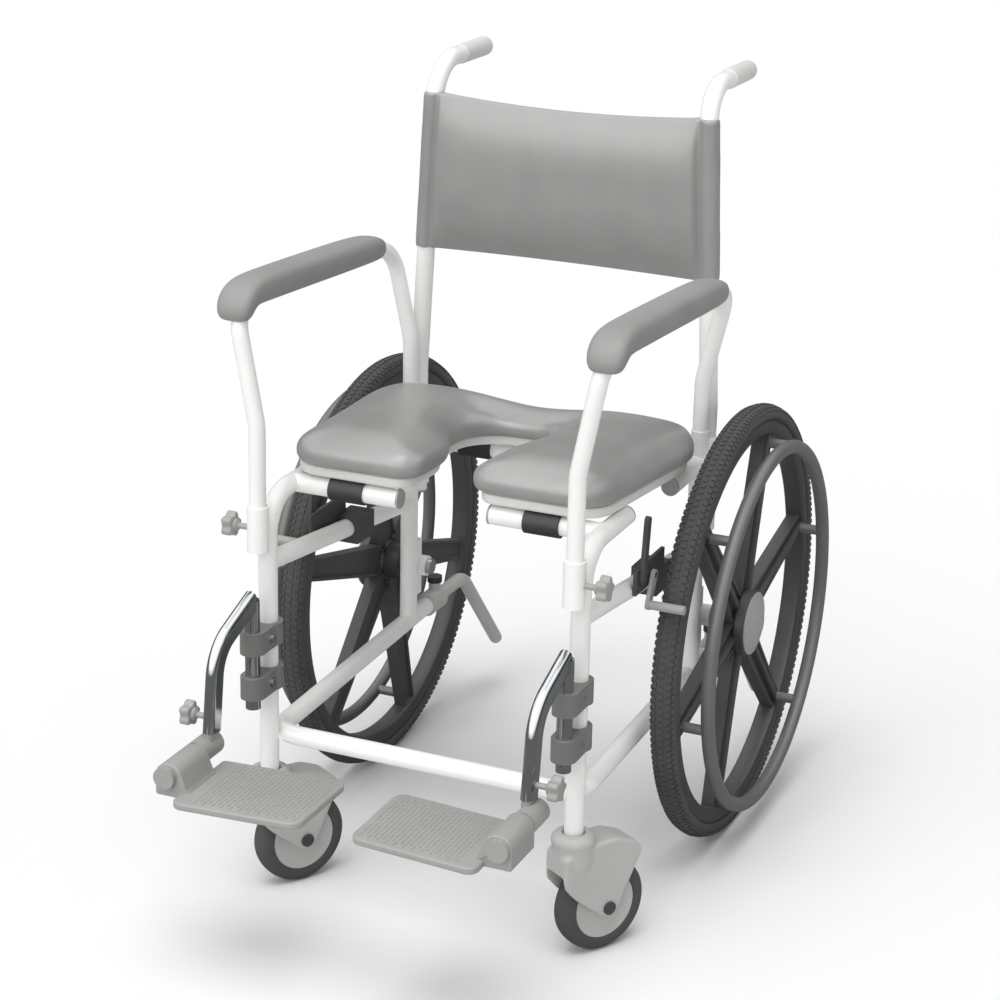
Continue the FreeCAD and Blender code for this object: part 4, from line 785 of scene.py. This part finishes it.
class CHAIR_OT_grips(Operator):
    """Builds the soft-ended push grips"""
    bl_idname = "chair.grips"
    bl_label = "Push Grips"

    HANDLE_X = 196
    HANDLE_Z = 1042

    def execute(self, context):
        skins = finishes(context)
        bm = bmesh.new()
        for side in (1, -1):
            grip = bmesh.new()
            spun(grip, [
                (0, 366), (12.5, 366), (12.5, 282), (13, 282), (13.5, 282.8), (13.6, 285), (13.6, 362),
                (13, 366), (11.4, 368.8), (8.5, 370), (0, 370)], 40, False)
            lie = Matrix.Rotation(math.radians(-90), 3, "X")
            bmesh.ops.rotate(grip, cent=(0, 0, 0), matrix=lie, verts=grip.verts)
            bmesh.ops.translate(grip, verts=grip.verts, vec=(side * self.HANDLE_X, 0, self.HANDLE_Z))
            joined(bm, grip)
        dressed(placed(bm, "push_grip_sleeves"), "pale_plastic", skins, "frame", "push_grips",
                shade="light_plastic")
        return {"FINISHED"}


class CHAIR_OT_knobs(Operator):
    """Builds the lobed clamping knobs of the armrests and footrests"""
    bl_idname = "chair.knobs"
    bl_label = "Star Knobs"

    LOBES = 5
    FIRST_LOBE = math.radians(18)
    RADIUS = 14.6
    THICK = 14
    SHANK = 20
    # Tip of the shank, and the knob's place along and above the frame
    ARM_SEAT = (229.4, -272.5, 517)
    FOOT_SEAT = (223.7, -395.58, 304)

    def knob(self, name, seat, side):
        bm = bmesh.new()
        rim = bmesh.ops.create_circle(bm, segments=60, radius=self.RADIUS, cap_ends=True)["verts"]
        for vert in rim:
            turn = math.atan2(vert.co.y, vert.co.x)
            vert.co.xy *= 1 + 0.16 * math.cos(self.LOBES * (turn - self.FIRST_LOBE))
        grown = bmesh.ops.extrude_face_region(bm, geom=list(bm.faces))["geom"]
        tops = [part for part in grown if isinstance(part, bmesh.types.BMVert)]
        bmesh.ops.translate(bm, vec=(0, 0, self.THICK), verts=tops)
        bm.normal_update()
        rims = [edge for edge in bm.edges if abs(edge.verts[0].co.z - edge.verts[1].co.z) < 0.01]
        bmesh.ops.bevel(
            bm, geom=rims, offset=2.4, offset_type="OFFSET", segments=3, profile=0.5, affect="EDGES",
            material=-1)
        shank = bmesh.new()
        spun(shank, [
            (0, -self.SHANK), (3.4, -self.SHANK), (4, 0.6 - self.SHANK), (4, -6), (8.5, -3), (9, 0.5),
            (0, 0.5)], 28, False)
        joined(bm, shank)
        tip, y, z = seat
        place = Matrix.Translation((side * (tip + self.SHANK) * MM, y * MM, z * MM)) \
            @ Matrix.Rotation(math.radians(90 * side), 4, "Y")
        return placed(bm, name, place)

    def execute(self, context):
        skins = finishes(context)
        for word, side in SIDES:
            dressed(self.knob(word + "_arm_star_knob", self.ARM_SEAT, side), "grey_plastic", skins,
                    word + "_arm_knob", word + "_armrest_knob")
            dressed(self.knob(word + "_foot_star_knob", self.FOOT_SEAT, side), "grey_plastic", skins,
                    word + "_foot_knob", word + "_footrest_knob")
        return {"FINISHED"}


class CHAIR_OT_frame_finish(Operator):
    """Gives every remaining piece of the frame its finish"""
    bl_idname = "chair.frame_finish"
    bl_label = "Frame Finish"

    def execute(self, context):
        skins = finishes(context)
        slots = {part["node"]: part["material_slot"] for part in frame["record"]["subparts"]}
        shades = {"hanger_clamps": "slate_plastic"}
        for name, made in frame["nodes"].items():
            made.data.materials.clear()
            made.data.materials.append(skins[shades.get(name, slots[name])])
        return {"FINISHED"}


class CHAIR_OT_stage(Operator):
    """Sets the floor, the lamps and the camera"""
    bl_idname = "chair.stage"
    bl_label = "Stage"

    # Camera: azimuth, elevation and roll in degrees, lens in picture widths, and where it looks
    VIEW = (23.21, 19.27, 1.26)
    SENSOR = 36
    LENS = 2.5606
    AIM = Vector((0, 0, 0.505))
    DISTANCE = 3.415

    def lamp(self, name, lean, turn, strength, spread):
        """A wide sun-like lamp that leans from straight above by lean, towards turn, in degrees."""
        data = bpy.data.lights.new(name, "SUN")
        data.energy = strength
        data.angle = math.radians(spread)
        made = bpy.data.objects.new(name, data)
        made.rotation_euler = (math.radians(lean), 0, math.radians(turn))
        bpy.context.scene.collection.objects.link(made)

    def execute(self, context):
        scene = context.scene
        scene.view_settings.view_transform = "Standard"
        bm = bmesh.new()
        bmesh.ops.create_grid(bm, x_segments=2, y_segments=2, size=20000)
        floor = placed(bm, "studio_floor")
        paper = bpy.data.materials.new("studio_paper")
        paper.use_nodes = True
        tree = paper.node_tree
        tree.nodes.clear()
        matt = add(tree, "ShaderNodeBsdfDiffuse", sockets={"Color": linear("f4f4f4") + (1,)})
        # Glossy rays see the floor as a darker grey than the camera does: painted shade in the reflections
        # of the shiny pieces
        dim = add(tree, "ShaderNodeBsdfDiffuse", sockets={"Color": linear("8c8c8c") + (1,)})
        shiny = add(tree, "ShaderNodeLightPath").outputs["Is Glossy Ray"]
        mixed = add(tree, "ShaderNodeMixShader", links={
            0: shiny, 1: matt.outputs["BSDF"], 2: dim.outputs["BSDF"]})
        add(tree, "ShaderNodeOutputMaterial", links={"Surface": mixed.outputs["Shader"]})
        floor.data.materials.append(paper)

        world = bpy.data.worlds.new("studio")
        world.use_nodes = True
        scene.world = world
        tree = world.node_tree
        tree.nodes.clear()
        ray = add(tree, "ShaderNodeLightPath")
        soft = add(tree, "ShaderNodeBackground", sockets={"Color": (1, 1, 1, 1), "Strength": 0.42})
        white = add(tree, "ShaderNodeBackground", sockets={"Color": (1, 1, 1, 1), "Strength": 1.0})
        # Shiny pieces mirror a room with dim walls and a bright ceiling that comes down in front
        where = add(tree, "ShaderNodeTexCoord").outputs["Generated"]
        ceiling = add(
            tree, "ShaderNodeVectorMath", {"operation": "DOT_PRODUCT"}, sockets={1: (0, -0.35, 1)},
            links={0: where}).outputs["Value"]
        glow = add(tree, "ShaderNodeMapRange", {"interpolation_type": "SMOOTHSTEP"}, sockets={
            "From Min": 0.1, "From Max": 0.6, "To Min": 0.1, "To Max": 2.6}, links={"Value": ceiling})
        room = add(tree, "ShaderNodeBackground", sockets={"Color": (1, 1, 1, 1)}, links={
            "Strength": glow.outputs["Result"]})
        lit = add(tree, "ShaderNodeMixShader", links={
            0: ray.outputs["Is Glossy Ray"], 1: soft.outputs["Background"], 2: room.outputs["Background"]})
        both = add(tree, "ShaderNodeMixShader", links={
            0: ray.outputs["Is Camera Ray"], 1: lit.outputs["Shader"], 2: white.outputs["Background"]})
        add(tree, "ShaderNodeOutputWorld", links={"Surface": both.outputs["Shader"]})

        self.lamp("top_lamp", 14, 10, 1.5, 40)
        self.lamp("front_lamp", 52, -12, 1.2, 60)

        # The camera's place, turn and lens follow the picture's perspective
        azimuth, elevation, roll = (math.radians(angle) for angle in self.VIEW)
        back = Vector((math.sin(azimuth) * math.cos(elevation), -math.cos(azimuth) * math.cos(elevation),
                       math.sin(elevation)))
        right = Vector((math.cos(azimuth), math.sin(azimuth), 0))
        turn = Matrix((right, back.cross(right), back)).transposed().to_4x4()
        data = bpy.data.cameras.new("camera")
        data.sensor_width = self.SENSOR
        data.lens = self.SENSOR * self.LENS
        data.clip_end = 60
        eye = bpy.data.objects.new("camera", data)
        eye.matrix_world = Matrix.Translation(self.AIM + back * self.DISTANCE) @ turn \
            @ Matrix.Rotation(roll, 4, "Z")
        scene.collection.objects.link(eye)
        scene.camera = eye
        return {"FINISHED"}


class CHAIR_PT_panel(Panel):
    """Lists the chair's steps in the sidebar"""
    bl_idname = "CHAIR_PT_panel"
    bl_label = "Commode Chair"
    bl_space_type = "VIEW_3D"
    bl_region_type = "UI"
    bl_category = "Commode"

    def draw(self, context):
        for step in STEPS:
            self.layout.operator(step.bl_idname)
        for values in (context.scene.chair_colours, context.scene.chair_sizes):
            for name in values.__annotations__:
                self.layout.prop(values, name)


STEPS = (
    CHAIR_OT_stage, CHAIR_OT_frame_finish, CHAIR_OT_seat, CHAIR_OT_backrest, CHAIR_OT_armrest_pads,
    CHAIR_OT_rear_wheels, CHAIR_OT_casters, CHAIR_OT_footplates, CHAIR_OT_grips, CHAIR_OT_knobs)
CLASSES = (ChairColours, ChairSizes) + STEPS + (CHAIR_PT_panel,)


def register():
    for kind in CLASSES:
        bpy.utils.register_class(kind)
    bpy.types.Scene.chair_colours = PointerProperty(type=ChairColours)
    bpy.types.Scene.chair_sizes = PointerProperty(type=ChairSizes)


def unregister():
    del bpy.types.Scene.chair_sizes
    del bpy.types.Scene.chair_colours
    for kind in reversed(CLASSES):
        bpy.utils.unregister_class(kind)


def main():
    register()
    for step in STEPS:
        getattr(bpy.ops.chair, step.bl_idname.split(".")[1])()


if __name__ == "__main__":
    main()
